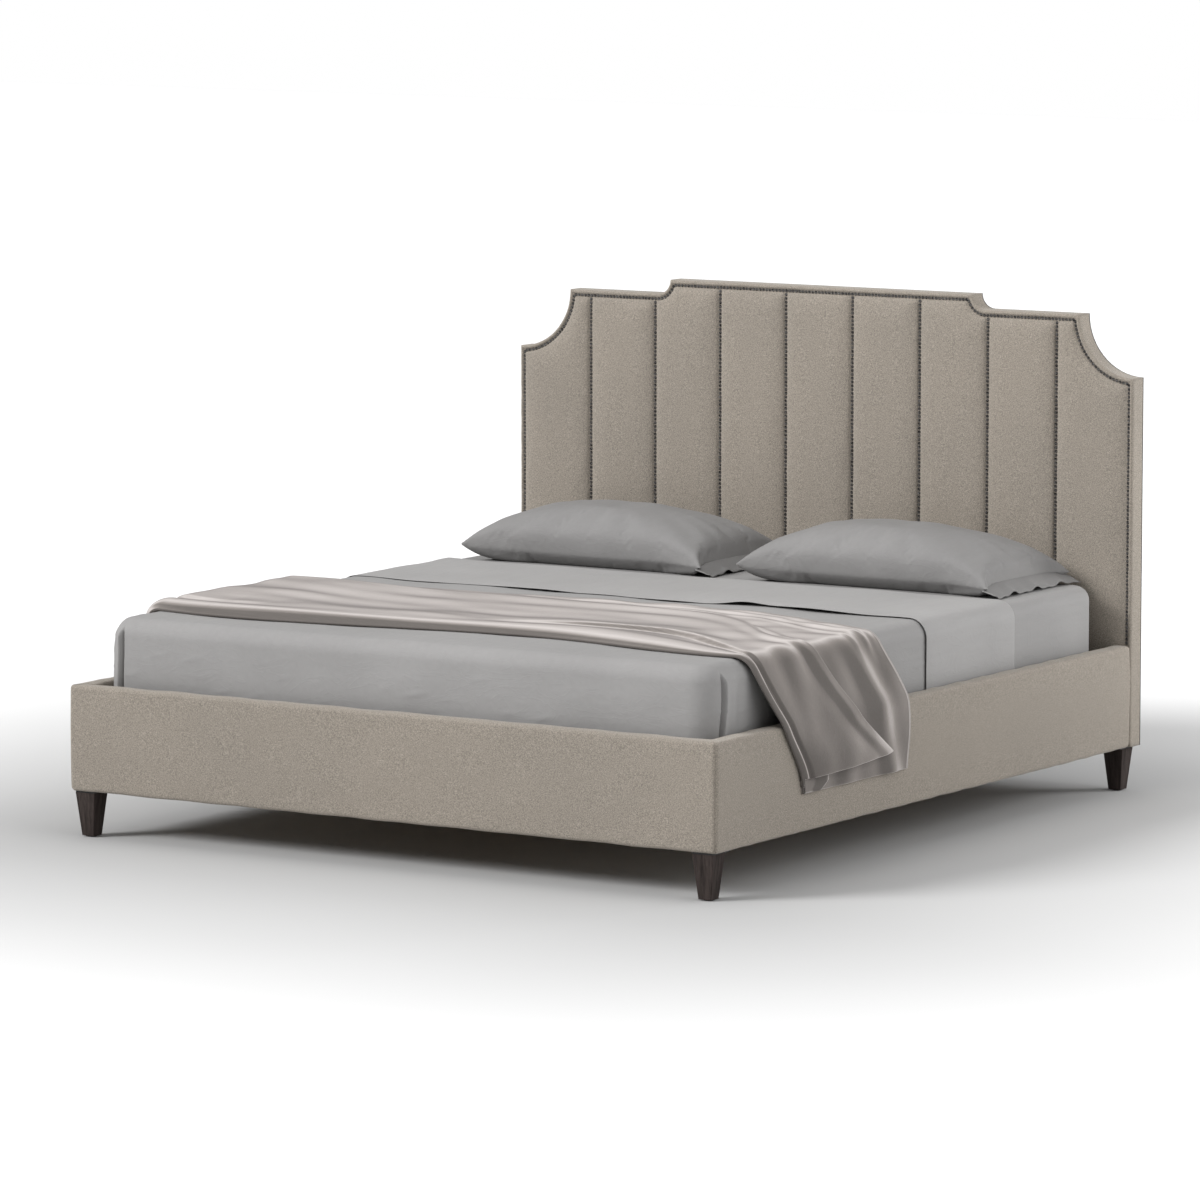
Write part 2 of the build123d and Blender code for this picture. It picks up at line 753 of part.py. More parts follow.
def throw_solid(over):
    """Throw across the foot end: over the mattress, out past each rail and down its face."""
    y = y_inner + throw_foot_gap
    inner = [(x, y, z) for x, z in throw_path(0, over)]
    outer = [(x, y, z) for x, z in throw_path(throw_thickness, over)]
    half = []
    for top, turn, side, edge, hem in (inner, outer):
        half += [ThreePointArc(top, turn, side), Line(side, edge), Line(edge, hem)]
        half.append(Line((0, y, top[2]), top))
    half.append(Line(inner[-1], outer[-1]))
    whole = half + [mirror(edge, about=Plane.YZ) for edge in half]
    section = Face(Wire([edge.edge() for edge in whole]))
    return extrude(section, amount=throw_width, dir=(0, 1, 0)).solid()


def write_parts():
    for name, solids in parts.items():
        shape = solids[0] if len(solids) == 1 else Compound(children=solids)
        export_step(shape, "parts/%s.step" % name)


build_rails()
build_headboard()
build_nail_trim()
build_deck()
build_corner_joints()
build_legs()
build_frame_screws()
build_bedding()
write_parts()
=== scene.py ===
"""Looks of the upholstered headboard bed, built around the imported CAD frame. Metres throughout."""

import json
from math import acos, atan2, cos, exp, log, pi, radians, sin, sqrt, tan

import bpy
import numpy as np
from mathutils import Matrix, Vector


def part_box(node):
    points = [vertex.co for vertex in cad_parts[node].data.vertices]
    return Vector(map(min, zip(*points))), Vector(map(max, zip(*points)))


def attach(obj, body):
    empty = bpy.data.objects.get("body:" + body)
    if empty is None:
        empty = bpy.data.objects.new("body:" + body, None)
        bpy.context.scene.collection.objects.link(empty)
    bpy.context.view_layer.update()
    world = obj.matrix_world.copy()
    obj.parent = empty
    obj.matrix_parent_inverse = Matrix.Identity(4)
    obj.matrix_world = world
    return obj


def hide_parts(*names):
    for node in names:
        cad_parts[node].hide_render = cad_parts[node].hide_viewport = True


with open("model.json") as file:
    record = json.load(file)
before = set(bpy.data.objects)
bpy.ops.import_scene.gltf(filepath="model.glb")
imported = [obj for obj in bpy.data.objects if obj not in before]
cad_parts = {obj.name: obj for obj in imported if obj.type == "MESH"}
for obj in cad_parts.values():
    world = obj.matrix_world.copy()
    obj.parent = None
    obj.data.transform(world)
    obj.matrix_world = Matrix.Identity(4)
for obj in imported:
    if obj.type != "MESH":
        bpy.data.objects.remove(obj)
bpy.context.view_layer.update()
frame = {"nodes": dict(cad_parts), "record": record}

# ---- Sizes that the soft shapes are drawn from ----

# Headboard
CENTRE_HALF_WIDTH = 0.481
CURL_RADIUS = 0.040
SCOOP_RADIUS = 0.165
NAIL_DIAMETER = 0.0095
NAIL_PITCH = 0.0105
NAIL_RISE = 0.0034
COLUMN_COUNT = 8
CROWN_RISE = 0.0160
CROWN_SHOULDER = 0.056
BORDER_ROLL = 0.0035

# Rails
RAIL_EDGE_RADIUS = 0.010
RAIL_CORNER_RADIUS = 0.014
RAIL_END_RADIUS = 0.016
LEAST_RADIUS = 0.0004
SEAM_DIP = 0.0022

# Mattress and sheets
LINEN_THICKNESS = 0.0012
MATTRESS_EDGE = 0.041
MATTRESS_CORNER = 0.060
TAPE_RADIUS = 0.0035
RING_STEP = 0.03
COVER_GAP = 0.0035
COVER_EDGE = 0.044
COVER_CORNER = 0.062
RIGHT_FOLD = 0.049
LEFT_FOLD = 0.030
TURN_DOWN_DEPTH = 0.476

# Pillows
PILLOW_HALF_X = 0.40
PILLOW_HALF_Y = 0.23
PILLOW_HEIGHT = 0.158
FLAP_WIDTH = 0.030
FLAP_THICKNESS = 0.0016
PILLOW_START = 0.86
PILLOW_SINK = 0.010

# Throw
THROW_THICKNESS = 0.0012
THROW_RIM = 0.0030
THROW_FOLD = 0.0060
THROW_HEM = 0.0062
UPPER_HEM = 0.040

# Light of the sky
HORIZON_LIGHT = 0.12
OVERHEAD_LIGHT = 0.86


# ---- Plain geometry helpers ----


def low_of(node):
    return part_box(node)[0]


def high_of(node):
    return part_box(node)[1]


def in_scene(thing):
    bpy.context.scene.collection.objects.link(thing)
    return thing


def new_object(name, vertices, faces):
    """Smooth-shaded mesh."""
    mesh = bpy.data.meshes.new(name)
    mesh.from_pydata(np.asarray(vertices, float).tolist(), [], faces)
    mesh.validate()
    mesh.update()
    mesh.shade_smooth()
    return in_scene(bpy.data.objects.new(name, mesh))


def grid_faces(rows, columns, wrap_rows=False, wrap_columns=False, start=0):
    """Quads of a grid whose vertices are numbered row by row from start."""
    number = start + np.arange(rows * columns).reshape(rows, columns)
    if wrap_rows:
        number = np.vstack([number, number[:1]])
    if wrap_columns:
        number = np.hstack([number, number[:, :1]])
    quads = np.stack([number[:-1, :-1], number[:-1, 1:], number[1:, 1:], number[1:, :-1]], -1)
    return quads.reshape(-1, 4).tolist()


def grid_object(name, points, wrap_rows=False, wrap_columns=False, flip=False):
    """Surface through an array of points with shape rows x columns x 3."""
    faces = grid_faces(*points.shape[:2], wrap_rows, wrap_columns)
    if flip:
        faces = [face[::-1] for face in faces]
    return new_object(name, points.reshape(-1, 3), faces)


def select_only(pieces):
    bpy.ops.object.select_all(action="DESELECT")
    for piece in pieces:
        piece.select_set(True)
    bpy.context.view_layer.objects.active = pieces[0]


def joined(name, pieces):
    """One object from several."""
    select_only(pieces)
    bpy.ops.object.join()
    pieces[0].name = name
    pieces[0].data.name = name
    return pieces[0]


def merge_seam(piece):
    """Welds points that lie together."""
    select_only([piece])
    bpy.ops.object.mode_set(mode="EDIT")
    bpy.ops.mesh.select_all(action="SELECT")
    bpy.ops.mesh.remove_doubles(threshold=0.0004)
    bpy.ops.object.mode_set(mode="OBJECT")


def thicken(piece, thickness):
    """Gives a sheet its thickness, half on each side."""
    solid = piece.modifiers.new("thickness", "SOLIDIFY")
    solid.thickness = thickness
    solid.offset = 0


def apply_modifiers(piece):
    bpy.context.view_layer.update()
    graph = bpy.context.evaluated_depsgraph_get()
    mesh = bpy.data.meshes.new_from_object(piece.evaluated_get(graph))
    piece.modifiers.clear()
    piece.data = mesh


def ripple(x, y, wavelength, seed, waves=9):
    """Soft random undulation between about -1 and 1, the same on every run."""
    random = np.random.default_rng(seed)
    total = np.zeros(np.broadcast(x, y).shape)
    for _ in range(waves):
        angle = random.uniform(0, 2 * pi)
        phase = random.uniform(0, 2 * pi)
        size = wavelength * random.uniform(0.7, 1.5)
        along = x * cos(angle) + y * sin(angle)
        total = total + np.sin(2 * pi * along / size + phase)
    return total / sqrt(waves)


def ease(value, start, end):
    """Smooth step from 0 at start to 1 at end."""
    t = np.clip((value - start) / (end - start), 0, 1)
    return t * t * (3 - 2 * t)


def hump(distance, width):
    """Rounded ridge: 1 on the line, 0 a few widths away."""
    return np.exp(-((distance / width) ** 2))


def turn(first, last, count):
    """Angles in radians between two in degrees."""
    return np.radians(np.linspace(first, last, count))


def unit(vectors):
    return vectors / np.linalg.norm(vectors, axis=-1, keepdims=True)


def lengths_of(path):
    """Distance along a flat path to each of its points."""
    return np.cumsum(np.hypot(*np.diff(path, axis=0, prepend=path[:1]).T))


def looked_up(at, lengths, rows):
    """Rows of a table, read between its entries."""
    return np.stack([np.interp(at, lengths, column) for column in rows.T], -1)


def clustered(limits, step, centres, offsets):
    """Evenly spaced values with extra ones around some centres."""
    low, high = limits
    extra = [centre + sign * offset for centre in centres for offset in offsets for sign in (-1, 1)]
    values = np.sort([*np.arange(low, high, step), high, *(value for value in extra if low < value < high)])
    return values[np.diff(values, prepend=-np.inf) > 1e-5]


def at_height(plan, z):
    """Points of a loop in plan, at one height."""
    return np.column_stack([plan, np.full(len(plan), z)])


def xyz(x, y, z):
    """Points from their coordinates, of which some may be shared."""
    return np.stack(np.broadcast_arrays(x, y, z), -1)


# ---- Materials ----

# Each Shader files its material here under its name: a slot's name, or that of a variant.
materials = {}


def fill(tree, node, inputs):
    """Links a node's inputs to sockets, or sets them to plain values."""
    for name, value in inputs.items():
        if hasattr(value, "links"):
            tree.links.new(value, node.inputs[name])
        else:
            node.inputs[name].default_value = value


def add_node(tree, kind, inputs, **settings):
    """New shader node of a kind, with its settings and filled inputs."""
    node = tree.nodes.new("ShaderNode" + kind)
    for name, value in settings.items():
        setattr(node, name, value)
    fill(tree, node, inputs)
    return node


class Shader:
    """A material's node tree, with short calls for the nodes used here."""

    def __init__(self, name):
        self.material = bpy.data.materials.new(name)
        materials[name] = self.material
        self.material.use_nodes = True
        self.tree = self.material.node_tree
        self.tree.nodes.clear()
        self.surface = add_node(self.tree, "BsdfPrincipled", {})
        add_node(self.tree, "OutputMaterial", {"Surface": self.surface.outputs["BSDF"]})
        self.place = self.node("TexCoord", {}, "Object")

    def node(self, kind, inputs, output, **settings):
        return add_node(self.tree, kind, inputs, **settings).outputs[output]

    def stretched(self, scale, angles=(0, 0, 0)):
        """Object coordinates, scaled and turned."""
        return self.node("Mapping", {"Vector": self.place, "Scale": scale, "Rotation": angles}, "Vector")

    def noise(self, scale, detail=2.0, roughness=0.5, distortion=0.0, place=None):
        inputs = {"Vector": place or self.place, "Scale": scale, "Detail": detail}
        inputs.update(Roughness=roughness, Distortion=distortion)
        return self.node("TexNoise", inputs, "Fac")

    def ramp(self, value, *stops):
        """Colour ramp through (position, tone) stops, where a tone is a colour or a grey's number."""
        node = add_node(self.tree, "ValToRGB", {"Fac": value})
        points = node.color_ramp.elements
        while len(points) < len(stops):
            points.new(0.5)
        for point, (position, tone) in zip(points, stops):
            point.position = position
            point.color = (*np.broadcast_to(tone, 3), 1)
        return node.outputs["Color"]

    def mix(self, factor, first, second, blend="MIX"):
        return self.node("Mix", {0: factor, 6: first, 7: second}, 2, data_type="RGBA", blend_type=blend)

    def shaded(self, colour, value, *stops):
        """A colour times a ramp."""
        return self.mix(1.0, colour, self.ramp(value, *stops), "MULTIPLY")

    def maths(self, operation, first, second):
        return self.node("Math", {0: first, 1: second}, "Value", operation=operation)

    def vector(self, operation, *terms, output="Vector"):
        return self.node("VectorMath", dict(enumerate(terms)), output, operation=operation)

    def bump(self, height, distance, strength, under=None):
        inputs = {"Height": height, "Distance": distance, "Strength": strength}
        if under:
            inputs["Normal"] = under
        return self.node("Bump", inputs, "Normal")

    def finish(self, colour, roughness, normal=None, **others):
        """The material, with its surface filled; underscores in other inputs' names stand for spaces."""
        inputs = {"Base Color": colour, "Roughness": roughness}
        if normal:
            inputs["Normal"] = normal
        inputs.update({name.replace("_", " "): value for name, value in others.items()})
        fill(self.tree, self.surface, inputs)
        return self.material


def scaled(colour, factor):
    return tuple(channel * factor for channel in colour)


def upholstery_material():
    """Warm grey-beige felted boucle: soft clouds, curled-yarn grain and a fuzzy sheen."""
    base = (0.272, 0.242, 0.206)
    shader = Shader("upholstery_fabric")
    clouds = shader.noise(3.0, 3.0)
    curls = shader.noise(430.0, 3.0, 0.62, 0.6)
    fibres = shader.noise(900.0, 2.0, 0.6)
    colour = shader.ramp(curls, (0.34, scaled(base, 0.60)), (0.52, base), (0.70, scaled(base, 1.48)))
    colour = shader.shaded(colour, clouds, (0.35, 0.97), (0.65, (1.025, 1.02, 1.015)))
    colour = shader.shaded(colour, fibres, (0.35, 0.90), (0.65, 1.08))
    fuzz = shader.bump(fibres, 0.0006, 0.5, shader.bump(curls, 0.0022, 0.55))
    sheen = {"Sheen_Weight": 0.32, "Sheen_Roughness": 0.45, "Sheen_Tint": (1.0, 0.95, 0.89, 1)}
    shader.finish(colour, 0.92, fuzz, Specular_IOR_Level=0.2, **sheen)


def linen_material(name="bed_linen", shade=1.0):
    """Grey sateen sheet: fine weave, faint slubs and small pressed creases."""
    # shade scales the tone: the pillow copy is darker as painted shade, the turn-down copy brighter as
    # painted light.
    base = scaled((0.278, 0.273, 0.270), shade)
    shader = Shader(name)
    slub = shader.noise(60.0, 3.0, 0.6, 0.0, shader.stretched((1.0, 0.12, 1.0)))
    thread = shader.noise(1500.0, 1.0)
    clouds = shader.noise(2.2, 2.0)
    colour = shader.ramp(clouds, (0.3, scaled(base, 0.95)), (0.7, scaled(base, 1.05)))
    colour = shader.shaded(colour, slub, (0.3, 0.975), (0.7, 1.02))
    turned = shader.stretched((9.0, 9.0, 17.0), (0.5, 0.35, 0.3))
    creases = shader.noise(1.0, 3.0, 0.55, 1.6, turned)
    sharp = shader.ramp(creases, (0.44, 0.0), (0.50, 1.0), (0.56, 0.0))
    weave = shader.bump(thread, 0.0002, 0.35, shader.bump(sharp, 0.0012, 0.20))
    shader.finish(colour, 0.70, weave, Specular_IOR_Level=0.08, Sheen_Weight=0.04, Sheen_Roughness=0.4)


def satin_material():
    """Pink-beige satin with weft streaks and crush marks; its sheen is painted into the base colour, dark
    face on and a pearly painted highlight as it turns away.
    """
    dark = (0.128, 0.116, 0.108)
    shader = Shader("throw_satin")
    streaks = shader.noise(30.0, 4.0, 0.6, 0.0, shader.stretched((0.25, 14.0, 6.0)))
    crush = shader.noise(16.0, 3.0, 0.55, 0.8)
    soft = shader.bump(crush, 0.0025, 0.16, shader.bump(streaks, 0.0004, 0.25))
    turning_away = shader.node("LayerWeight", {"Blend": 0.5, "Normal": soft}, "Facing")
    # Painted sheen: the base colour follows how far the cloth turns from the view, dark face on and pearly as
    # it turns away.
    painted_sheen = [
        (0.42, dark),
        (0.58, scaled(dark, 1.90)),
        (0.73, (0.520, 0.484, 0.466)),
        (0.86, (0.365, 0.336, 0.322)),
        (0.96, (0.215, 0.198, 0.190)),
    ]
    colour = shader.shaded(shader.ramp(turning_away, *painted_sheen), streaks, (0.3, 0.94), (0.7, 1.06))
    gloss = shader.ramp(crush, (0.35, 0.58), (0.65, 0.68))
    sheen = {"Sheen_Weight": 0.03, "Sheen_Roughness": 0.35, "Sheen_Tint": (1.0, 0.93, 0.91, 1)}
    shader.finish(colour, gloss, soft, IOR=1.20, Specular_IOR_Level=0.30, **sheen)


def wood_material(name, dark, light, roughness, along="X", gloss=0.4):
    """Straight-grained wood with pores that run along one axis."""
    shader = Shader(name)
    stretch = {"X": (0.05, 1, 1), "Z": (1, 1, 0.05)}[along]
    grain = shader.noise(95.0, 5.0, 0.62, 0.4, shader.stretched(stretch))
    pores = shader.noise(420.0, 2.0, 0.5, 0.0, shader.stretched(stretch))
    colour = shader.ramp(grain, (0.32, dark), (0.50, np.add(dark, light) / 2), (0.70, light))
    colour = shader.shaded(colour, pores, (0.38, 0.80), (0.52, 1.0))
    shine = shader.ramp(grain, (0.3, roughness * 1.12), (0.7, roughness * 0.9))
    shader.finish(colour, shine, shader.bump(pores, 0.0003, 0.3), Specular_IOR_Level=gloss)


def mottled_material(name, noise, tones, shines, metallic=0.0, relief=(0.0002, 0.2)):
    """Even surface whose tone and gloss vary a little from patch to patch."""
    shader = Shader(name)
    patches = shader.noise(*noise)
    colour = shader.ramp(patches, (0.35, tones[0]), (0.65, tones[1]))
    shine = shader.ramp(patches, *shines)
    shader.finish(colour, shine, shader.bump(patches, *relief), Metallic=metallic)


def steel_material(name, dark, light, roughness, metallic=1.0):
    """Plated or painted steel."""
    shines = ((0.3, roughness), (0.7, roughness * 1.3))
    mottled_material(name, (70.0, 4.0, 0.6), (dark, light), shines, metallic)


def cloth_material(name, dark, light, thread=700.0):
    """Plain woven cloth or webbing."""
    shader = Shader(name)
    waves = {"Vector": shader.place, "Scale": thread / 6, "Distortion": 0.8}
    threads = [shader.node("TexWave", waves, "Fac", bands_direction=axis) for axis in "XZ"]
    weave = shader.maths("MAXIMUM", *threads)
    clouds = shader.ramp(shader.noise(6.0, 3.0), (0.3, dark), (0.7, light))
    colour = shader.mix(0.5, shader.ramp(weave, (0.2, dark), (0.9, light)), clouds)
    shader.finish(colour, 0.9, shader.bump(weave, 0.0004, 0.35), Sheen_Weight=0.2)


def ticking_material():
    """White knitted mattress cover with a quilted ripple."""
    shader = Shader("mattress_ticking")
    quilt = shader.noise(14.0, 1.0, 0.4, 0.8)
    knit = shader.noise(800.0, 1.0)
    colour = shader.ramp(quilt, (0.3, (0.62, 0.61, 0.58)), (0.7, (0.74, 0.73, 0.71)))
    relief = shader.bump(knit, 0.0003, 0.3, shader.bump(quilt, 0.006, 0.3))
    shader.finish(colour, 0.85, relief, Sheen_Weight=0.2)


def hard_materials():
    """Wood, metal, plastic and foam."""
    wood_material("frame_timber", (0.42, 0.27, 0.14), (0.62, 0.45, 0.27), 0.6)
    wood_material("slat_wood", (0.55, 0.39, 0.23), (0.72, 0.56, 0.38), 0.5)
    wood_material("leg_wood", (0.024, 0.0190, 0.0175), (0.060, 0.047, 0.043), 0.70, "Z", 0.08)
    steel_material("zinc_steel", (0.50, 0.50, 0.49), (0.66, 0.66, 0.65), 0.32)
    steel_material("black_steel", 0.02, 0.04, 0.45, 0.4)
    gunmetal = ((0.120, 0.118, 0.120), (0.210, 0.207, 0.205))
    mottled_material("nail_metal", (160.0, 2.0), gunmetal, ((0.35, 0.24), (0.65, 0.34)), 1.0)
    black = (0.018, (0.035, 0.035, 0.034))
    mottled_material("glide_plastic", (120.0, 3.0), black, ((0.3, 0.45), (0.7, 0.6)), relief=(0.0002, 0.0))
    cream = ((0.55, 0.50, 0.36), (0.74, 0.70, 0.56))
    flat = ((0.3, 0.95), (0.7, 0.95))
    mottled_material("upholstery_foam", (420.0, 2.0, 0.7), cream, flat, relief=(0.0008, 0.5))


def soft_materials():
    """Upholstery, linings and bedding."""
    upholstery_material()
    cloth_material("lining_cloth", (0.012, 0.012, 0.013), (0.032, 0.031, 0.031))
    cloth_material("webbing", (0.35, 0.33, 0.29), (0.55, 0.52, 0.47), 400.0)
    ticking_material()
    linen_material()
    # Darker copy of the bed linen for the pillows: painted shade on their tops.
    linen_material("pillow_linen_painted_shade", 0.80)
    # Brighter copy of the bed linen for the turn-down: painted light on its top.
    linen_material("turn_down_linen_painted_light", 1.14)
    satin_material()


def dress_frame():
    """Gives every CAD node the material of its slot."""
    for part in frame["record"]["subparts"]:
        node = frame["nodes"][part["node"]]
        node.data.materials.clear()
        node.data.materials.append(materials[part["material_slot"]])


def finished(piece, slot, body, *nodes, look=None):
    """Material, slot and body of a new piece that replaces nodes; look names a variant of the material."""
    piece.data.materials.clear()
    piece.data.materials.append(materials[look or slot])
    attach(piece, body)
    if nodes:
        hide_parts(*nodes)
    return piece


# ---- Headboard ----


class Board:
    """Places read off the frame that the headboard's pieces share."""

    half = high_of("headboard_cover").x
    top = high_of("headboard_cover").z
    bottom = low_of("headboard_cover").z
    back_y = low_of("headboard_back_cloth").y
    step_z = top - CURL_RADIUS
    curl_x = CENTRE_HALF_WIDTH + CURL_RADIUS
    seat_y = high_of("nail_trim_border").y
    nail_inset = half - high_of("nail_trim_border").x + NAIL_DIAMETER / 2
    trim_bottom = low_of("nail_trim_border").z
    last_line = high_of("nail_trim_columns").x - NAIL_DIAMETER / 2
    lines = np.linspace(-last_line, last_line, COLUMN_COUNT)


def notch(radius, inset):
    """Radius of a concave arc moved inwards by inset, and how far its ends lie from its centre."""
    grown = radius + inset
    return grown, sqrt(grown**2 - inset**2)


def top_edge(x, inset):
    """Height of the headboard's outline, moved inwards by inset, at each x."""
    x = np.abs(np.asarray(x, float))
    curl, curl_reach = notch(CURL_RADIUS, inset)
    scoop, scoop_reach = notch(SCOOP_RADIUS, inset)
    z = np.where(x < Board.curl_x, Board.top, Board.step_z) - inset
    in_curl = (x > Board.curl_x - curl_reach) & (x < Board.curl_x)
    z[in_curl] = Board.top - np.sqrt(curl**2 - (Board.curl_x - x[in_curl]) ** 2)
    in_scoop = x > Board.half - scoop_reach
    z[in_scoop] = Board.step_z - np.sqrt(scoop**2 - (Board.half - x[in_scoop]) ** 2)
    return z


def arc(centre, radius, start, end, count):
    """Points of an arc in the X-Z plane, between two points at the lower left of its centre."""
    first, last = (-abs(atan2(z - centre[1], x - centre[0])) for x, z in (start, end))
    angle = np.linspace(first, last, count)
    return centre + radius * np.stack([np.cos(angle), np.sin(angle)], 1)


def outline(inset):
    """The headboard's outline moved inwards by inset, as a closed loop from the bottom's middle."""
    half, top = Board.half - inset, Board.top - inset
    step, bottom = Board.step_z - inset, Board.bottom + inset
    curl, curl_reach = notch(CURL_RADIUS, inset)
    scoop, scoop_reach = notch(SCOOP_RADIUS, inset)
    shoulder = (half, Board.step_z - scoop_reach)
    scoop_top = (Board.half - scoop_reach, step)
    curl_end = (Board.curl_x, step)
    curl_top = (Board.curl_x - curl_reach, top)
    stretches = [
        np.linspace((half, bottom), shoulder, 90),
        arc((Board.half, Board.step_z), scoop, shoulder, scoop_top, 36),
        np.linspace(scoop_top, curl_end, 24),
        arc((Board.curl_x, Board.top), curl, curl_end, curl_top, 14),
        np.linspace(curl_top, (0, top), 40),
    ]
    base = np.linspace((0, bottom), (half, bottom), 40)
    right = np.concatenate([base] + [stretch[1:] for stretch in stretches])
    return np.concatenate([right, right[-2:0:-1] * (-1, 1)])


def edge_distance(x, z):
    """How far a point on the headboard lies inside its outline."""
    x = np.abs(x)
    to_curl = np.hypot(x - Board.curl_x, z - Board.top) - CURL_RADIUS
    under_step = np.where(x < Board.curl_x, to_curl, Board.step_z - z)
    to_scoop = np.hypot(x - Board.half, z - Board.step_z) - SCOOP_RADIUS
    edges = [Board.top - z, under_step, to_scoop, Board.half - x, z - Board.bottom]
    return np.minimum.reduce(edges)


def crown(x, z):
    """How far the padding stands proud between the nail lines."""
    seat = 0.0045
    softness = 0.006
    to_line = np.min(np.abs(x[..., None] - Board.lines), axis=-1) - seat
    to_border = edge_distance(x, z) - Board.nail_inset - seat
    nearest = -softness * np.log(np.exp(-to_line / softness) + np.exp(-to_border / softness))
    share = np.clip(nearest / CROWN_SHOULDER, 0, 1)
    shoulder = np.sqrt(np.clip(1 - (1 - share) ** 2, 0, 1))
    half_pitch = (Board.lines[1] - Board.lines[0]) / 2
    swell = np.sin(np.clip(nearest / half_pitch, 0, 1) * pi / 2)
    pucker = 0.0006 * ripple(x * 0.6, z, 0.055, 3) * hump(nearest - 0.012, 0.016)
    slack = 0.0007 * ripple(x, z * 0.5, 0.16, 4) * share
    return CROWN_RISE * (0.78 * shoulder + 0.22 * swell) + pucker + slack


def headboard_field():
    """Channelled front, inside the border's nail line."""
    inset = Board.nail_inset
    half = Board.half - inset
    near = np.array([0, 0.002, 0.0045, 0.007, 0.010, 0.014, 0.019, 0.025])
    starts = [Board.half - notch(SCOOP_RADIUS, inset)[1], Board.curl_x - notch(CURL_RADIUS, inset)[1]]
    starts += [-start for start in starts]
    columns = clustered((-half, half), 0.008, Board.lines, near)
    extra = clustered((-half, half), 2 * half, starts, (0, 0.0008, 0.002, 0.004, 0.006))
    x = np.unique(np.concatenate([columns, extra]))
    near_top = top_edge(x, inset) - near[:, None]
    share = np.linspace(0, 1, 130)[1:, None]
    rest = near_top[-1] + (Board.bottom + inset - near_top[-1]) * share
    z = np.concatenate([near_top, rest])
    x = np.broadcast_to(x, z.shape)
    return grid_object("headboard_field", xyz(x, Board.seat_y - crown(x, z), z))


def headboard_border():
    """Soft roll outside the nail line, wrapped round the edge to the back."""
    roll_front = Board.seat_y - BORDER_ROLL
    edge_depth = 0.0085
    edge_width = 0.0065
    back = Board.back_y
    profile = [(0.0015, back), (0.0, back - 0.003)]
    profile += [(0.0, y) for y in np.linspace(back - 0.006, roll_front + edge_depth, 6)]
    for angle in turn(0, 90, 8)[1:]:
        profile.append((edge_width * (1 - cos(angle)), roll_front + edge_depth * (1 - sin(angle))))
    seat_width = Board.nail_inset - 0.002 - edge_width
    for share in np.linspace(0, 1, 5)[1:]:
        profile.append((edge_width + seat_width * share, roll_front + BORDER_ROLL * ease(share, 0, 1)))
    profile.append((Board.nail_inset + 0.002, Board.seat_y + 0.001))
    points = np.array([np.insert(outline(inset), 1, y, axis=1) for inset, y in profile])
    soft = 0.0005 * ripple(points[..., 0] + points[..., 1], points[..., 2], 0.07, 5)
    points[..., 1] += soft * (points[..., 1] < back - 0.004)
    return grid_object("headboard_border", points, wrap_columns=True)


def nail_dome(sides=10):
    """One nail head, facing -Y, around the origin."""
    rings = [(0.45, 0.88), (0.80, 0.56), (0.98, 0.16), (1.0, -0.1)]
    vertices = [(0, -NAIL_RISE, 0)]
    for share, rise in rings:
        reach = share * NAIL_DIAMETER / 2
        for angle in 2 * pi * np.arange(sides) / sides:
            vertices.append((reach * cos(angle), -rise * NAIL_RISE, reach * sin(angle)))
    tip = [(0, 1 + side, 1 + (side + 1) % sides) for side in range(sides)]
    return np.array(vertices), tip + grid_faces(len(rings), sides, wrap_columns=True, start=1)


def nail_heads(name, spots):
    """Nail heads at points in the headboard's plane."""
    shape, faces = nail_dome()
    centres = np.insert(spots, 1, Board.seat_y, axis=1)
    vertices = (centres[:, None] + shape).reshape(-1, 3)
    starts = range(0, len(vertices), len(shape))
    all_faces = [[corner + start for corner in face] for start in starts for face in faces]
    return new_object(name, vertices, all_faces)


def spaced(path):
    """Points along a path, a whole number of nail pitches apart."""
    lengths = lengths_of(path)
    count = max(2, round(lengths[-1] / NAIL_PITCH) + 1)
    return looked_up(np.linspace(0, lengths[-1], count), lengths, path)


def nail_spots():
    """The border's nails, up one side, over the top and down the other, and the columns' nails."""
    loop = outline(Board.nail_inset)
    above = loop[loop[:, 1] > Board.trim_bottom]
    low = Board.trim_bottom + NAIL_DIAMETER / 2
    border = np.concatenate([[(above[0, 0], low)], above, [(above[-1, 0], low)]])
    high = top_edge(Board.lines, Board.nail_inset) - NAIL_PITCH
    columns = [spaced(np.array([(line, low), (line, crest)])) for line, crest in zip(Board.lines, high)]
    return {"border": spaced(border), "columns": np.concatenate(columns)}


def build_headboard():
    cover = joined("headboard_upholstery", [headboard_field(), headboard_border()])
    foams = [f"channel_foam_{number}" for number in range(1, COLUMN_COUNT + 2)]
    finished(cover, "upholstery_fabric", "frame", "headboard_cover", *foams)
    for trim, spots in nail_spots().items():
        finished(nail_heads("nail_heads_" + trim, spots), "nail_metal", "frame", "nail_trim_" + trim)


# ---- Rails ----


class Rails:
    """Places read off the frame that the three rails share."""

    y_foot = low_of("footboard_cover").y
    y_end = high_of("side_rail_cover_right").y
    half = high_of("side_rail_cover_right").x
    bottom = low_of("footboard_cover").z
    top = high_of("footboard_cover").z
    depth = low_of("mattress").y - 0.033 - y_foot


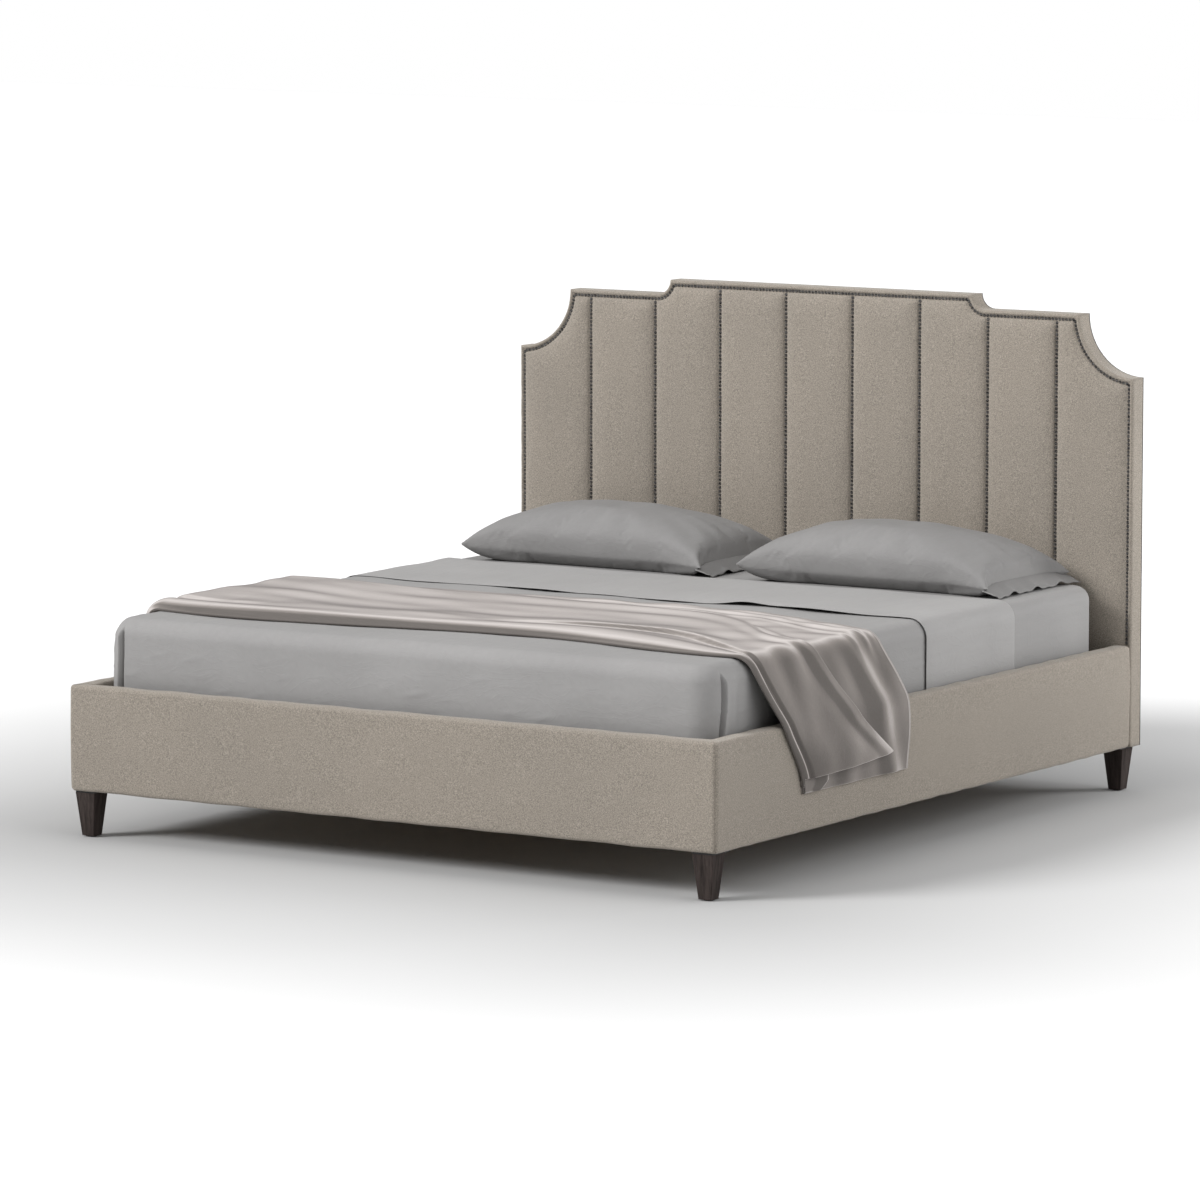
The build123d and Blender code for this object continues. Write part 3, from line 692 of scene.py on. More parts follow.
def rail_section():
    """Rounded section as (inset from the outer face, height), a closed loop from the outer bottom."""
    radius = RAIL_EDGE_RADIUS
    low, high = Rails.bottom + radius, Rails.top - radius
    near, far = radius, Rails.depth - radius
    corners = []
    for inset, z, first in ((near, low, -90), (near, high, 180), (far, high, 90), (far, low, 0)):
        angle = turn(first, first - 90, 7)
        corners.append(np.stack([inset + radius * np.cos(angle), z + radius * np.sin(angle)], 1))
    z = np.linspace(low, high, 26)[1:-1]
    bulge = 0.0018 * np.sin(pi * (z - Rails.bottom) / (Rails.top - Rails.bottom))
    crest = at_height(np.linspace(near, far, 6)[1:-1], Rails.top + 0.0008)
    return np.concatenate([corners[0], np.stack([-bulge, z], 1), corners[1], crest, *corners[2:]])


def corner_radius(inset):
    return np.maximum(RAIL_CORNER_RADIUS - inset, LEAST_RADIUS)


def corner_rows(angles):
    """Rows round the right-hand foot corner, turned from the foot face; the cloth dips into the seam."""
    inset, z = rail_section().T
    rows = []
    for angle in angles:
        from_seam = abs(angle - pi / 4) * RAIL_CORNER_RADIUS
        pulled = inset + SEAM_DIP * exp(-from_seam / SEAM_DIP)
        radius = corner_radius(pulled)
        x = Rails.half - pulled - radius + radius * sin(angle)
        y = Rails.y_foot + pulled + radius - radius * cos(angle)
        rows.append(xyz(x, y, z))
    return rows


def soften(points, seed):
    """Padding that isn't quite flat."""
    along = points[..., 0] + points[..., 1]
    points[..., 1] += 0.0007 * ripple(along, points[..., 2], 0.16, seed)
    points[..., 2] += 0.0007 * ripple(along, points[..., 1], 0.12, seed + 1)
    return points


def footboard_upholstery():
    inset, z = rail_section().T
    right = corner_rows(turn(45, 0, 8))
    reach = Rails.half - inset - corner_radius(inset)
    middle = [xyz(reach * share, Rails.y_foot + inset, z) for share in np.linspace(1, -1, 230)[1:-1]]
    left = [row * (-1, 1, 1) for row in right[::-1]]
    return grid_object("footboard_upholstery", soften(np.array(right + middle + left), 11), wrap_columns=True)


def side_rail_upholstery(name, sign):
    section = rail_section()
    inset, z = section.T
    rows = corner_rows(turn(45, 90, 8))
    start = rows[-1][:, 1]
    y_last = Rails.y_end - RAIL_END_RADIUS
    for share in np.linspace(0, 1, 230)[1:]:
        rows.append(xyz(Rails.half - inset, start + (y_last - start) * share, z))
    middle = np.array([Rails.depth, z.max() + z.min()]) / 2
    size = np.array([Rails.depth, z.max() - z.min()]) / 2
    for angle in turn(0, 90, 8)[1:]:
        shrink = 0.8 * RAIL_END_RADIUS * (1 - cos(angle))
        tight = middle + (section - middle) * (1 - shrink / size)
        rows.append(xyz(Rails.half - tight[:, 0], y_last + RAIL_END_RADIUS * sin(angle), tight[:, 1]))
    points = soften(np.array(rows), 21) * (sign, 1, 1)
    return grid_object(name, points, wrap_columns=True, flip=sign < 0)


def build_rails():
    rails = {"footboard_cover": footboard_upholstery()}
    for side, sign in (("left", -1), ("right", 1)):
        rails["side_rail_cover_" + side] = side_rail_upholstery("side_rail_upholstery_" + side, sign)
    for node, rail in rails.items():
        finished(rail, "upholstery_fabric", "frame", node)


# ---- Mattress and sheets ----


class Bed:
    """Places read off the frame that the bedding's pieces share."""

    sheet_low, sheet_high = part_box("fitted_sheet")
    cover_low, cover_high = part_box("coverlet")
    half = sheet_high.x + COVER_GAP
    top = sheet_high.z + COVER_GAP


def slab_ring(half_x, y0, y1, corner, count):
    """Rounded rectangle as a closed loop in plan, and its outward directions."""
    half = np.array([half_x, (y1 - y0) / 2]) - corner
    ring = []
    for quarter, sides in enumerate(((1, -1), (1, 1), (-1, 1), (-1, -1))):
        centre = half * sides + (0, (y0 + y1) / 2)
        for angle in turn(90 * quarter - 90, 90 * quarter, count):
            outward = np.array([cos(angle), sin(angle)])
            ring.append(np.concatenate([centre + corner * outward, outward]))
    fine = []
    for here, ahead in zip(ring, ring[1:] + ring[:1]):
        parts = max(1, int(np.linalg.norm((ahead - here)[:2]) / RING_STEP))
        fine.append(here + (ahead - here) * np.arange(parts)[:, None] / parts)
    fine = np.concatenate(fine)
    return fine[:, :2], unit(fine[:, 2:])


def tape(loop, z):
    """Cord sewn round a loop in plan."""
    ahead = unit(np.roll(loop, -1, axis=0) - np.roll(loop, 1, axis=0))
    side = np.stack([ahead[:, 1], -ahead[:, 0]], 1) * TAPE_RADIUS
    turns = np.radians(np.arange(0, 360, 45))
    rows = [at_height(loop + side * cos(angle), z + TAPE_RADIUS * sin(angle)) for angle in turns]
    return grid_object("tape", np.array(rows), wrap_rows=True, wrap_columns=True)


def build_mattress():
    """Quilted slab with a tape edge sewn round its top and bottom."""
    low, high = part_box("mattress")
    radius = MATTRESS_EDGE
    loop, outward = slab_ring(high.x, low.y, high.y, MATTRESS_CORNER, 12)
    profile = []
    for angle in turn(-90, 0, 8):
        profile.append((radius * (1 - cos(angle)), low.z + radius * (1 + sin(angle))))
    for share in np.linspace(0, 1, 9)[1:-1]:
        z = low.z + radius + (high.z - low.z - 2 * radius) * share
        profile.append((0.002 * sin(pi * share), z))
    for angle in turn(0, 90, 8):
        profile.append((radius * (1 - cos(angle)), high.z - radius * (1 - sin(angle))))
    rows = [at_height(loop - outward * inset, z) for inset, z in profile]
    shares = (0.97, 0.8, 0.5, 0.02)
    base, crest = ((0, (low.y + high.y) / 2, z) for z in (low.z, high.z))
    rows = [base + (rows[0] - base) * share for share in shares[::-1]] + rows
    rows += [crest + (rows[-1] - crest) * share for share in shares]
    pieces = [grid_object("mattress_body", np.array(rows), wrap_columns=True)]
    tape_drop = radius * 0.45
    tape_inset = 0.0115
    for z in (low.z + tape_drop, high.z - tape_drop):
        pieces.append(tape(loop - outward * tape_inset, z))
    piece = finished(joined("mattress_quilted", pieces), "mattress_ticking", "mattress", "mattress")


def build_fitted_sheet():
    """Stretched over the mattress and tucked below it, with a few upright folds down its sides."""
    low, high = Bed.sheet_low, Bed.sheet_high
    edge = MATTRESS_EDGE - 0.003
    top = high.z - 0.0008
    loop, outward = slab_ring(high.x - 0.0008, low.y, high.y, 0.0615, 14)
    inner = loop - outward * edge
    centre = np.array([0, (low.y + high.y) / 2])
    shares = (*np.linspace(0.02, 0.94, 46), 0.97, 1)
    rows = [at_height(centre + (inner - centre) * share, top) for share in shares]
    for angle in turn(0, 90, 9)[1:]:
        rows.append(at_height(inner + outward * edge * sin(angle), top - edge * (1 - cos(angle))))
    rows += [at_height(loop, z) for z in np.linspace(top - edge, low.z, 20)[1:]]
    points = np.array(rows)
    down = high.z - points[..., 2]
    folds = ripple(points[..., 0] + points[..., 1] * 0.8, down * 0.25, 0.20, 31)
    out = 0.0030 * np.clip(0.4 + folds, 0, None) * ease(down, 0.03, 0.12)
    points[..., :2] += outward * out[..., None]
    piece = grid_object("fitted_sheet_linen", points, wrap_columns=True, flip=True)
    finished(piece, "bed_linen", "mattress", "fitted_sheet")


class CrossSection:
    """Symmetric path across the bed with rounded corners, looked up by distance from its middle."""

    def __init__(self, corners, radii):
        corners = np.array(corners, float)
        points = [corners[0]]
        for before, corner, after, radius in zip(corners, corners[1:], corners[2:], radii):
            come, go = unit(corner - before), unit(after - corner)
            bend = acos(np.clip(come @ go, -1, 1))
            inward = unit(go - (come @ go) * come)
            centre = corner - come * radius * tan(bend / 2) + inward * radius
            for angle in np.linspace(0, bend, 10):
                points.append(centre + radius * (come * sin(angle) - inward * cos(angle)))
        points = np.array(points + [corners[-1]])
        lengths = lengths_of(points)
        self.length = lengths[-1]
        self.along = np.append(np.arange(0, self.length, 0.004), self.length)
        path = looked_up(self.along, lengths, points)
        ahead = unit(np.gradient(path, axis=0))
        self.table = np.column_stack([path, -ahead[:, 1], ahead[:, 0]])

    def points(self, reach, y, height):
        """Points at signed distances across the bed, lifted off the path by height."""
        x, z, nx, nz = (np.interp(np.abs(reach), self.along, column) for column in self.table.T)
        return xyz(np.where(reach < 0, -1, 1) * (x + nx * height), y, z + nz * height)


def u_loop(half, y_foot, y_head, corner, step):
    """Right side, foot and left side of the bed in plan: rows of place and outward direction."""
    rows = [(half, y, 1, 0) for y in np.linspace(y_head, y_foot + corner, round((y_head - y_foot) / step))]
    for angle in turn(0, 90, 26)[1:]:
        across, along = cos(angle), -sin(angle)
        rows.append((half - corner + corner * across, y_foot + corner + corner * along, across, along))
    rows += [(x, y_foot, 0, -1) for x in np.linspace(half - corner, 0, round(half / step))[1:]]
    rows = np.array(rows)
    return np.concatenate([rows, rows[-2::-1] * (-1, 1, -1, 1)])


def hospital_fold(distance, down):
    """Folded-over cloth next to a corner: it stands out on one side of a sharp edge."""
    lap = 0.0125 * ease(distance, -0.0010, 0.0010) * np.exp(-np.clip(distance, 0, None) / 0.040)
    lap = lap - 0.0075 * hump(distance + 0.0040, 0.0034)
    beside = 0.0050 * hump(distance - 0.040 - 0.06 * down, 0.011)
    beside = beside + 0.0030 * hump(distance - 0.095, 0.022)
    return lap * ease(down, 0.018, 0.045) + beside * ease(down, 0.030, 0.090)


def crease_field(across, down, seed):
    """Small slanting creases and broad slackness of a tucked-in sheet."""
    broad = 0.0016 * np.clip(0.7 + ripple(across, down * 1.6, 0.30, seed), 0, None)
    nicks = ripple(across + down * 0.7, down * 2.4 - across * 0.5, 0.075, seed + 1)
    return broad + 0.0013 * np.clip(nicks - 0.8, 0, None)


def build_coverlet():
    """Grey top sheet over the foot end and both sides, tucked behind the rails."""
    half, top = Bed.half, Bed.top
    y_foot = Bed.sheet_low.y - COVER_GAP
    loop = u_loop(half, y_foot, Bed.cover_high.y, COVER_CORNER, 0.012)
    lengths = lengths_of(loop[:, :2])
    corner_at = lengths[-1] / 2 - (half - COVER_CORNER) - COVER_CORNER * pi / 4
    right_fold = corner_at - RIGHT_FOLD
    left_fold = lengths[-1] - corner_at - LEFT_FOLD
    folds = [right_fold - 0.006, right_fold + 0.006, corner_at + LEFT_FOLD]
    around = clustered((0, lengths[-1] / 2), 0.012, folds, np.arange(0, 0.012, 0.0012))
    around = np.concatenate([around, (lengths[-1] - around[::-1])[1:]])
    table = looked_up(around, lengths, loop)
    loop, outward = table[:, :2], unit(table[:, 2:])
    inner = loop - outward * COVER_EDGE
    centre = np.stack([0 * around, np.maximum(inner[:, 1], y_foot + 0.9)], 1)
    shares = np.linspace(0, 1, 80)
    angles = turn(0, 90, 12)[1:]
    below = np.linspace(COVER_EDGE, top - Bed.cover_low.z, 30)[1:]
    drop = np.concatenate([0 * shares, COVER_EDGE * (1 - np.cos(angles)), below])[:, None]
    tilt = np.concatenate([0 * shares, np.sin(angles), 1 + 0 * below])[:, None]
    flat_rows = centre + (inner - centre) * shares[:, None, None]
    plan = np.concatenate([flat_rows, inner + outward * COVER_EDGE * tilt[len(shares) :, None]])
    points = xyz(plan[..., 0], plan[..., 1], top - drop)
    sway = 0.007 * np.sin(drop * 22)
    out = hospital_fold(right_fold - around - sway, drop) + hospital_fold(around - left_fold, drop)
    out = out + crease_field(around, drop, 41) * ease(drop, 0.02, 0.10)
    points[..., :2] += outward * (out * tilt)[..., None]
    x, y = points[..., 0], points[..., 1]
    sag = 0.0007 * np.clip(0.6 + ripple(x, y, 0.26, 43), 0, 1.6)
    line = 0.0016 * hump(y - (y_foot + 0.10), 0.022) * (np.abs(x) < half)
    points[..., 2] += (sag + line) * (1 - ease(drop, 0.0, 0.02))
    piece = grid_object("coverlet_linen", points)
    merge_seam(piece)
    thicken(piece, LINEN_THICKNESS)
    finished(piece, "bed_linen", "mattress", "coverlet")


def build_turn_down():
    """The coverlet's head end, turned back over itself, with a loose wavy edge."""
    section = CrossSection([(0, Bed.top), (Bed.half, Bed.top), (Bed.half, Bed.cover_low.z)], [COVER_EDGE])
    fold_y = Bed.cover_high.y
    reach = clustered((-section.length, section.length), 0.010, [0], [0])
    back = np.concatenate([np.arange(0, 0.139, 0.0028), np.linspace(0.14, TURN_DOWN_DEPTH, 32)])
    across, back = np.meshgrid(reach, 1 - back[::-1] / TURN_DOWN_DEPTH)
    wave = 0.008 * ripple(reach, 0 * reach, 0.45, 51) * (1 - ease(np.abs(reach), 0.80, 0.90))
    edge = fold_y - TURN_DOWN_DEPTH + wave
    y = fold_y + (edge - fold_y) * back
    from_edge = y - edge
    lifted = 0.0095 * hump(across - 0.36, 0.06) + 0.0055 * hump(across - 0.60, 0.12)
    lifted = (lifted + 0.003 * hump(across + 0.25, 0.10)) * hump(from_edge, 0.070)
    pressed = hump(from_edge - 0.045 - 0.10 * (across - 0.40), 0.007) * hump(across - 0.55, 0.17)
    slack = np.clip(0.6 + ripple(across * 0.8, y * 1.5, 0.28, 53), 0, 2)
    loose = np.clip(ripple(across, 0 * y, 0.24, 52), 0, None) * np.exp(-from_edge / 0.03)
    on_top = 1 - ease(np.abs(across), 0.84, 0.95)
    height = (0.0016 * loose + lifted - 0.007 * pressed) * on_top + 0.002 * (1 - on_top)
    height = np.clip(0.0030 + 0.0012 * slack + height, 0.0026, None)
    roll = np.clip(1 - (fold_y - y) / 0.006, 0, 1)
    height = height * np.sqrt(np.clip(1 - roll**2, 0.02, 1))
    piece = grid_object("coverlet_turn_down", section.points(across, y, height))
    thicken(piece, LINEN_THICKNESS)
    # The turn-down wears a brighter copy of the bed linen, as painted light.
    finished(piece, "bed_linen", "mattress", look="turn_down_linen_painted_light")


# ---- Pillows ----


def pillow_model(nx=100, ny=64):
    """Plump pillow with pulled-in sides: upper and lower skins that meet at the seam."""
    v, u = np.meshgrid(*(np.sin(np.linspace(-pi / 2, pi / 2, count)) for count in (ny, nx)))
    far_u, far_v = np.abs(u), np.abs(v)
    x = (PILLOW_HALF_X - FLAP_WIDTH * (u > 0)) * u * (1 - 0.065 * (1 - v**4))
    y = PILLOW_HALF_Y * v * (1 - 0.100 * (1 - u**4))
    ends = np.where(u > 0, (1 - far_u**2.3) ** 0.74, (1 - far_u**2.6) ** 0.48)
    plump = ends * (1 - far_v**3) ** 0.48
    seam = 0.021 + 0.012 * (far_u * far_v) ** 5 * (u < 0) - 0.008 * ease(u, 0.5, 1.0)
    gather = np.sin(np.arctan2(v, u) * 17 + 4 * u)
    uneven = ripple(x, y * 1.3, 0.17, 61) * 0.0030 + ripple(x * 0.6, y, 0.34, 62) * 0.0050
    uneven = uneven + 0.0045 * gather * np.maximum(far_u, far_v) ** 4
    top = seam + (PILLOW_HEIGHT * PILLOW_START - seam) * plump + uneven * np.clip(plump * 2, 0, 1)
    bottom = seam * (1 - np.clip(plump * 1.9, 0, 1))
    upper = grid_object("upper", xyz(x, y, top), flip=True)
    piece = joined("pillow", [upper, grid_object("lower", xyz(x, y, bottom))])
    merge_seam(piece)
    return piece


def vertices_of(piece):
    flat = np.empty(len(piece.data.vertices) * 3)
    piece.data.vertices.foreach_get("co", flat)
    return flat.reshape(-1, 3)


def move_vertices(piece, points):
    piece.data.vertices.foreach_set("co", points.ravel())
    piece.data.update()


def inflate(piece, voxel, pressure, cap):
    """Swells a closed cloth form with air; no point moves further than cap."""
    remesh = piece.modifiers.new("remesh", "REMESH")
    remesh.mode = "VOXEL"
    remesh.voxel_size = voxel
    apply_modifiers(piece)
    before = vertices_of(piece)
    cloth = piece.modifiers.new("air", "CLOTH").settings
    cloth.use_pressure = True
    cloth.uniform_pressure_force = pressure
    cloth.tension_stiffness = 25
    cloth.compression_stiffness = 25
    cloth.bending_stiffness = 2.0
    cloth.effector_weights.gravity = 0
    for number in range(1, 21):
        bpy.context.scene.frame_set(number)
    apply_modifiers(piece)
    bpy.context.scene.frame_set(1)
    move = vertices_of(piece) - before
    length = np.linalg.norm(move, axis=1)[:, None] + 1e-9
    move_vertices(piece, before + move / length * cap * np.tanh(length / cap))
    soft = piece.modifiers.new("soft", "SUBSURF")
    soft.levels = 1
    soft.render_levels = 1
    apply_modifiers(piece)


def fit_pillow(piece):
    """Brings the swollen pillow to its size and sets it flat on the sheet."""
    points = vertices_of(piece)
    low, high = points.min(axis=0), points.max(axis=0)
    start = np.array([-PILLOW_HALF_X, -PILLOW_HALF_Y, -PILLOW_SINK])
    end = np.array([PILLOW_HALF_X - FLAP_WIDTH, PILLOW_HALF_Y, PILLOW_HEIGHT])
    points = start + (points - low) / (high - low) * (end - start)
    squash = 0.006
    z = points[:, 2]
    settled = squash * (np.log1p(np.exp(z / squash)) - log(2) * hump(z, 0.03))
    points[:, 2] = np.clip(settled, 0, PILLOW_HEIGHT)
    move_vertices(piece, points)
    piece.data.shade_smooth()


def pillow_flap(name, centre):
    """Loose hemmed end of the pillowcase, beyond the filling."""
    out, v = np.meshgrid(np.linspace(0, 1, 12), np.linspace(-1, 1, 80))
    waist = 1 - v**4
    inner = (PILLOW_HALF_X - FLAP_WIDTH) * (1 - 0.055 * waist) - 0.014
    outer = PILLOW_HALF_X + 0.003 - 0.016 * waist
    hang = (0.016 + 0.012 * waist) * (1 - out**1.1) + 0.005
    flop = 0.004 * np.sin(v * 11 + 0.8) * out + 0.003 * np.sin(v * 23) * out**2
    hem = -0.0008 * hump(out - 0.72, 0.05)
    z = np.clip(hang + flop + hem, 0.0025, None)
    points = xyz(inner + (outer - inner) * out, PILLOW_HALF_Y * v, z) + centre
    flap = grid_object(name, points)
    thicken(flap, FLAP_THICKNESS)
    return flap


def build_pillows():
    """Two alike sateen pillows: crowned top, flat underside, pointed corners, an open flap at the right."""
    model = pillow_model()
    inflate(model, voxel=0.005, pressure=4.0, cap=0.022)
    fit_pillow(model)
    for name in ("pillow_left", "pillow_right"):
        low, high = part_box(name)
        centre = Vector(((low.x + high.x) / 2, (low.y + high.y) / 2, low.z))
        mesh = model.data.copy()
        mesh.transform(Matrix.Translation(centre))
        piece = in_scene(bpy.data.objects.new(name + "_sateen", mesh))
        # The pillows wear a darker copy of the bed linen, as painted shade.
        finished(piece, "bed_linen", name, name, look="pillow_linen_painted_shade")
        flap = finished(pillow_flap(name + "_flap", centre), "bed_linen", name, look="pillow_linen_painted_shade")
    bpy.data.objects.remove(model)


# ---- Throw ----

# Distances across the bed are measured along the throw from its middle, to the right positive.
THROW_FRONT = ((-1.26, -0.70), (-0.88, -0.84), (0.30, -0.78), (0.88, -0.845), (1.06, -0.80), (1.26, -0.695))
THROW_REAR = ((-1.26, -0.18), (-0.70, -0.14), (0.55, -0.09), (0.90, -0.21), (1.14, -0.165), (1.26, -0.18))
UPPER_REAR = ((-1.26, -0.20), (0.00, -0.155), (0.50, -0.24), (0.88, -0.545), (1.06, -0.465), (1.32, -0.17))
ROLL_REACH = ((-0.90, 0.052), (0.10, 0.054), (0.45, 0.080), (0.75, 0.050), (0.93, 0.012))
CREASE_REACH = ((-0.90, 0.105), (0.10, 0.110), (0.58, 0.195), (0.78, 0.105), (0.93, 0.024))
SECOND_REACH = ((0.10, 0.030), (0.45, 0.014), (0.93, 0.012))
ROLL_HEIGHT = ((-0.90, 0.027), (-0.50, 0.029), (-0.10, 0.023), (0.60, 0.021), (0.93, 0.008))
CREASE_HEIGHT = ((-0.90, 0.020), (-0.50, 0.027), (0.10, 0.019), (0.60, 0.008), (0.93, 0.004))


def through(at, control):
    """Smooth curve through a few control points, level beyond its ends."""
    places, values = np.array(control, float).T
    slopes = np.gradient(values, places)
    slopes[[0, -1]] = 0
    at = np.clip(at, places[0], places[-1])
    cell = np.clip(np.searchsorted(places, at) - 1, 0, len(places) - 2)
    width = places[cell + 1] - places[cell]
    t = (at - places[cell]) / width
    start = values[cell] * (1 + 2 * t) + slopes[cell] * width * t
    end = values[cell + 1] * (3 - 2 * t) - slopes[cell + 1] * width * (1 - t)
    return start * (1 - t) ** 2 + end * t**2


def throw_section():
    """Path across the bed: over the top, off the mattress's edge, out to the rail and down it."""
    top = Bed.cover_high.z - 0.0015
    rail_face = Rails.half + 0.0062
    hem = low_of("throw").z - 0.010
    corners = [(0, top), (Bed.half, top), (rail_face, Rails.top + 0.005), (rail_face, hem)]
    return CrossSection(corners, [0.052, 0.090])


def upper_height(reach, y):
    """Height of the upper layer: front roll, crease, second ridge, trough and rear ridges."""
    front = through(reach, THROW_FRONT)
    roll = front + through(reach, ROLL_REACH)
    crease = front + through(reach, CREASE_REACH)
    second = crease + through(reach, SECOND_REACH)
    left = 1 - ease(reach, -0.75, -0.35) - 0.6 * (1 - ease(reach, -1.08, -0.94))
    drape = ease(np.abs(reach), 0.60, 0.98)
    roll_height = through(reach, ROLL_HEIGHT)
    crease_height = through(reach, CREASE_HEIGHT)
    second_height = np.maximum(crease_height + 0.008 * drape, 0.021 + 0.007 * left - 0.013 * drape)
    trough = 0.0112 + 0.018 * left - 0.0017 * drape
    ridge = 0.0132 + 0.013 * left - 0.0027 * drape
    last = [(0.90, ridge + 0.004 * drape), (1.0, 0.0100 + 0.0035 * drape)]
    spots = [(roll, roll_height), (crease, crease_height), (second, second_height)]
    width = through(reach, UPPER_REAR) - second
    for share, size in [(0.35, trough), (0.60, ridge), (0.76, trough)] + last:
        spots.append((second + width * share, size))
    height = roll_height + 0 * y
    for (start, before), (end, after) in zip(spots, spots[1:]):
        height = height + (after - before) * ease(y, start, end)
    rising = np.clip((y - front) / (roll - front), 0, 1)
    height = height - (roll_height - 0.006) * (1 - np.sqrt(1 - (1 - rising) ** 2))
    loose = ease(y - front, 0.05, 0.14)
    return height + 0.0010 * ripple(reach * 0.35, y, 0.12, 71) * loose


def lower_height(reach, y):
    """Height of the lower layer: fine ridges along its rear edge and a soft fold down its drape."""
    rear = through(reach, THROW_REAR)
    top = 1 - ease(np.abs(reach), 0.84, 1.0)
    height = 0.0035 + 0 * y
    for offset, size in ((0.020, 0.0025), (0.046, 0.0045), (0.085, 0.0035)):
        height = height + size * top * hump(rear - y - offset * (1 + reach * 0.5), 0.010)
    fold = -0.365 + 0.30 * (reach - 0.92)
    height = height + 0.007 * ease(reach, 0.86, 1.00) * hump(y - fold, 0.045)
    fan = -0.20 - 0.80 * np.clip(reach - 0.45, 0, None)
    height = height + 0.0035 * ease(reach, 0.25, 0.45) * top * hump(y - fan, 0.014)
    return height + 0.0012 * ripple(reach * 0.5, y, 0.10, 72)


def throw_columns():
    """Shares of the way to the hems, and the columns of the turned hems behind each end."""
    hem = [(THROW_RIM * sin(a), -THROW_RIM * (1 - cos(a))) for a in turn(30, 180, 6)]
    hem.append((-0.016, -2 * THROW_RIM))
    left = [(-1, -beyond, sink) for beyond, sink in reversed(hem)]
    middle = [(share, 0, 0) for share in np.linspace(-1, 1, 391)]
    return np.array(left + middle + [(1, beyond, sink) for beyond, sink in hem]).T


def edge_turn(inner, outer):
    """Rounded turn between two layers, seen from its side: (outward, height) pairs."""
    middle = (inner + outer) / 2
    radius = (outer - inner) / 2
    return [(radius * cos(a), middle + radius * sin(a)) for a in turn(-80, 80, 9)]


def throw_rows(section):
    """Rows of the folded cloth: lower layer from the rear hem forwards, round the fold and back on top."""
    share_of, beyond, sink = throw_columns()
    rows = []

    def add(line, share, shift, height_of, hem):
        """One row: share of the way from the front edge to a rear one, shifted, with its height."""
        reach = share_of * hem + beyond
        held = np.clip(reach, -hem, hem)
        front = through(held, THROW_FRONT)
        y = front + (through(held, line) - front) * share + shift
        rows.append(section.points(reach, y, height_of(held, y) + sink))

    end = section.length
    for share in np.linspace(1, 0, 70):
        add(THROW_REAR, share, 0, lower_height if share > 0.02 else lambda reach, y: 0.002, end - 0.003)
    for outward, height in edge_turn(0.0, THROW_FOLD):
        add(THROW_REAR, 0, -outward, lambda reach, y: height, end - 0.020)
    upper_end = end - UPPER_HEM
    for share in [*np.linspace(0, 0.30, 44)[1:], *np.linspace(0.30, 1, 60)[1:]]:

        def lifted(reach, y):
            lift = 0.020 * sin(pi * share) ** 0.7 * np.where(reach > 0, 1, 0.5)
            return upper_height(reach, y) + lift * ease(np.abs(reach), 1.08, 1.21)

        add(UPPER_REAR, share, 0, lifted, upper_end - 0.017 * share)

    def under_hem(reach, y):
        return upper_height(reach, through(reach, UPPER_REAR)) + height

    for outward, height in edge_turn(-THROW_HEM, 0.0)[::-1]:
        add(UPPER_REAR, 1, outward, under_hem, upper_end - 0.017)
    height = -THROW_HEM
    add(UPPER_REAR, 1, -0.016, under_hem, upper_end - 0.018)
    return np.array(rows)


def inner_ply(section):
    """Corner of the throw's inner ply, curling out below the upper layer's hem on the right."""
    across, down = np.meshgrid(np.linspace(0, 1, 24), np.linspace(0, 1, 16))
    reach = section.length - 0.070 + 0.068 * down
    front = through(reach, THROW_FRONT) + 0.002
    rear = -0.590 - 0.035 * np.clip((down - 0.7) / 0.3, 0, 1)
    height = 0.0045 + 0.010 * ease(across, 0.45, 1.0) * (1 - 0.4 * down)
    points = section.points(reach, front + (rear - front) * across, height)
    return grid_object("inner_ply", points, flip=True)


def build_throw():
    """Satin throw folded lengthwise: a lower layer, a rolled front fold and an upper layer."""
    section = throw_section()
    cloth = grid_object("folded_cloth", throw_rows(section))
    piece = joined("throw_satin_cloth", [cloth, inner_ply(section)])
    thicken(piece, THROW_THICKNESS)
    finished(piece, "throw_satin", "throw", "throw")


# ---- Stage, light and camera ----


def build_stage():
    """White floor, painted a little greyer close to the bed as painted shade round it."""
    size = 30.0
    corners = [(-size, -size, 0), (size, -size, 0), (size, size, 0), (-size, size, 0)]
    floor = new_object("floor", corners, [(0, 1, 2, 3)])
    bed_half = (0.95, 1.10, 0)
    painted_shade_reach = 2.2
    shader = Shader("floor_painted_shade")
    apart = shader.vector("SUBTRACT", shader.vector("ABSOLUTE", shader.place), bed_half)
    apart = shader.vector("MAXIMUM", apart, (0, 0, 0))
    distance = shader.vector("LENGTH", apart, output="Value")
    reach = shader.maths("DIVIDE", distance, painted_shade_reach)
    # Painted shade: the floor's colour darkens towards the bed, standing in for the shade around and under
    # it.
    colour = shader.ramp(reach, (0.0, 0.46), (0.15, 0.51), (0.45, 0.66), (1.0, 0.97))
    colour = shader.shaded(colour, shader.noise(0.6, 2.0), (0.3, 0.98), (0.7, 1.0))
    floor.data.materials.append(shader.finish(colour, 0.9, Specular_IOR_Level=0.1))


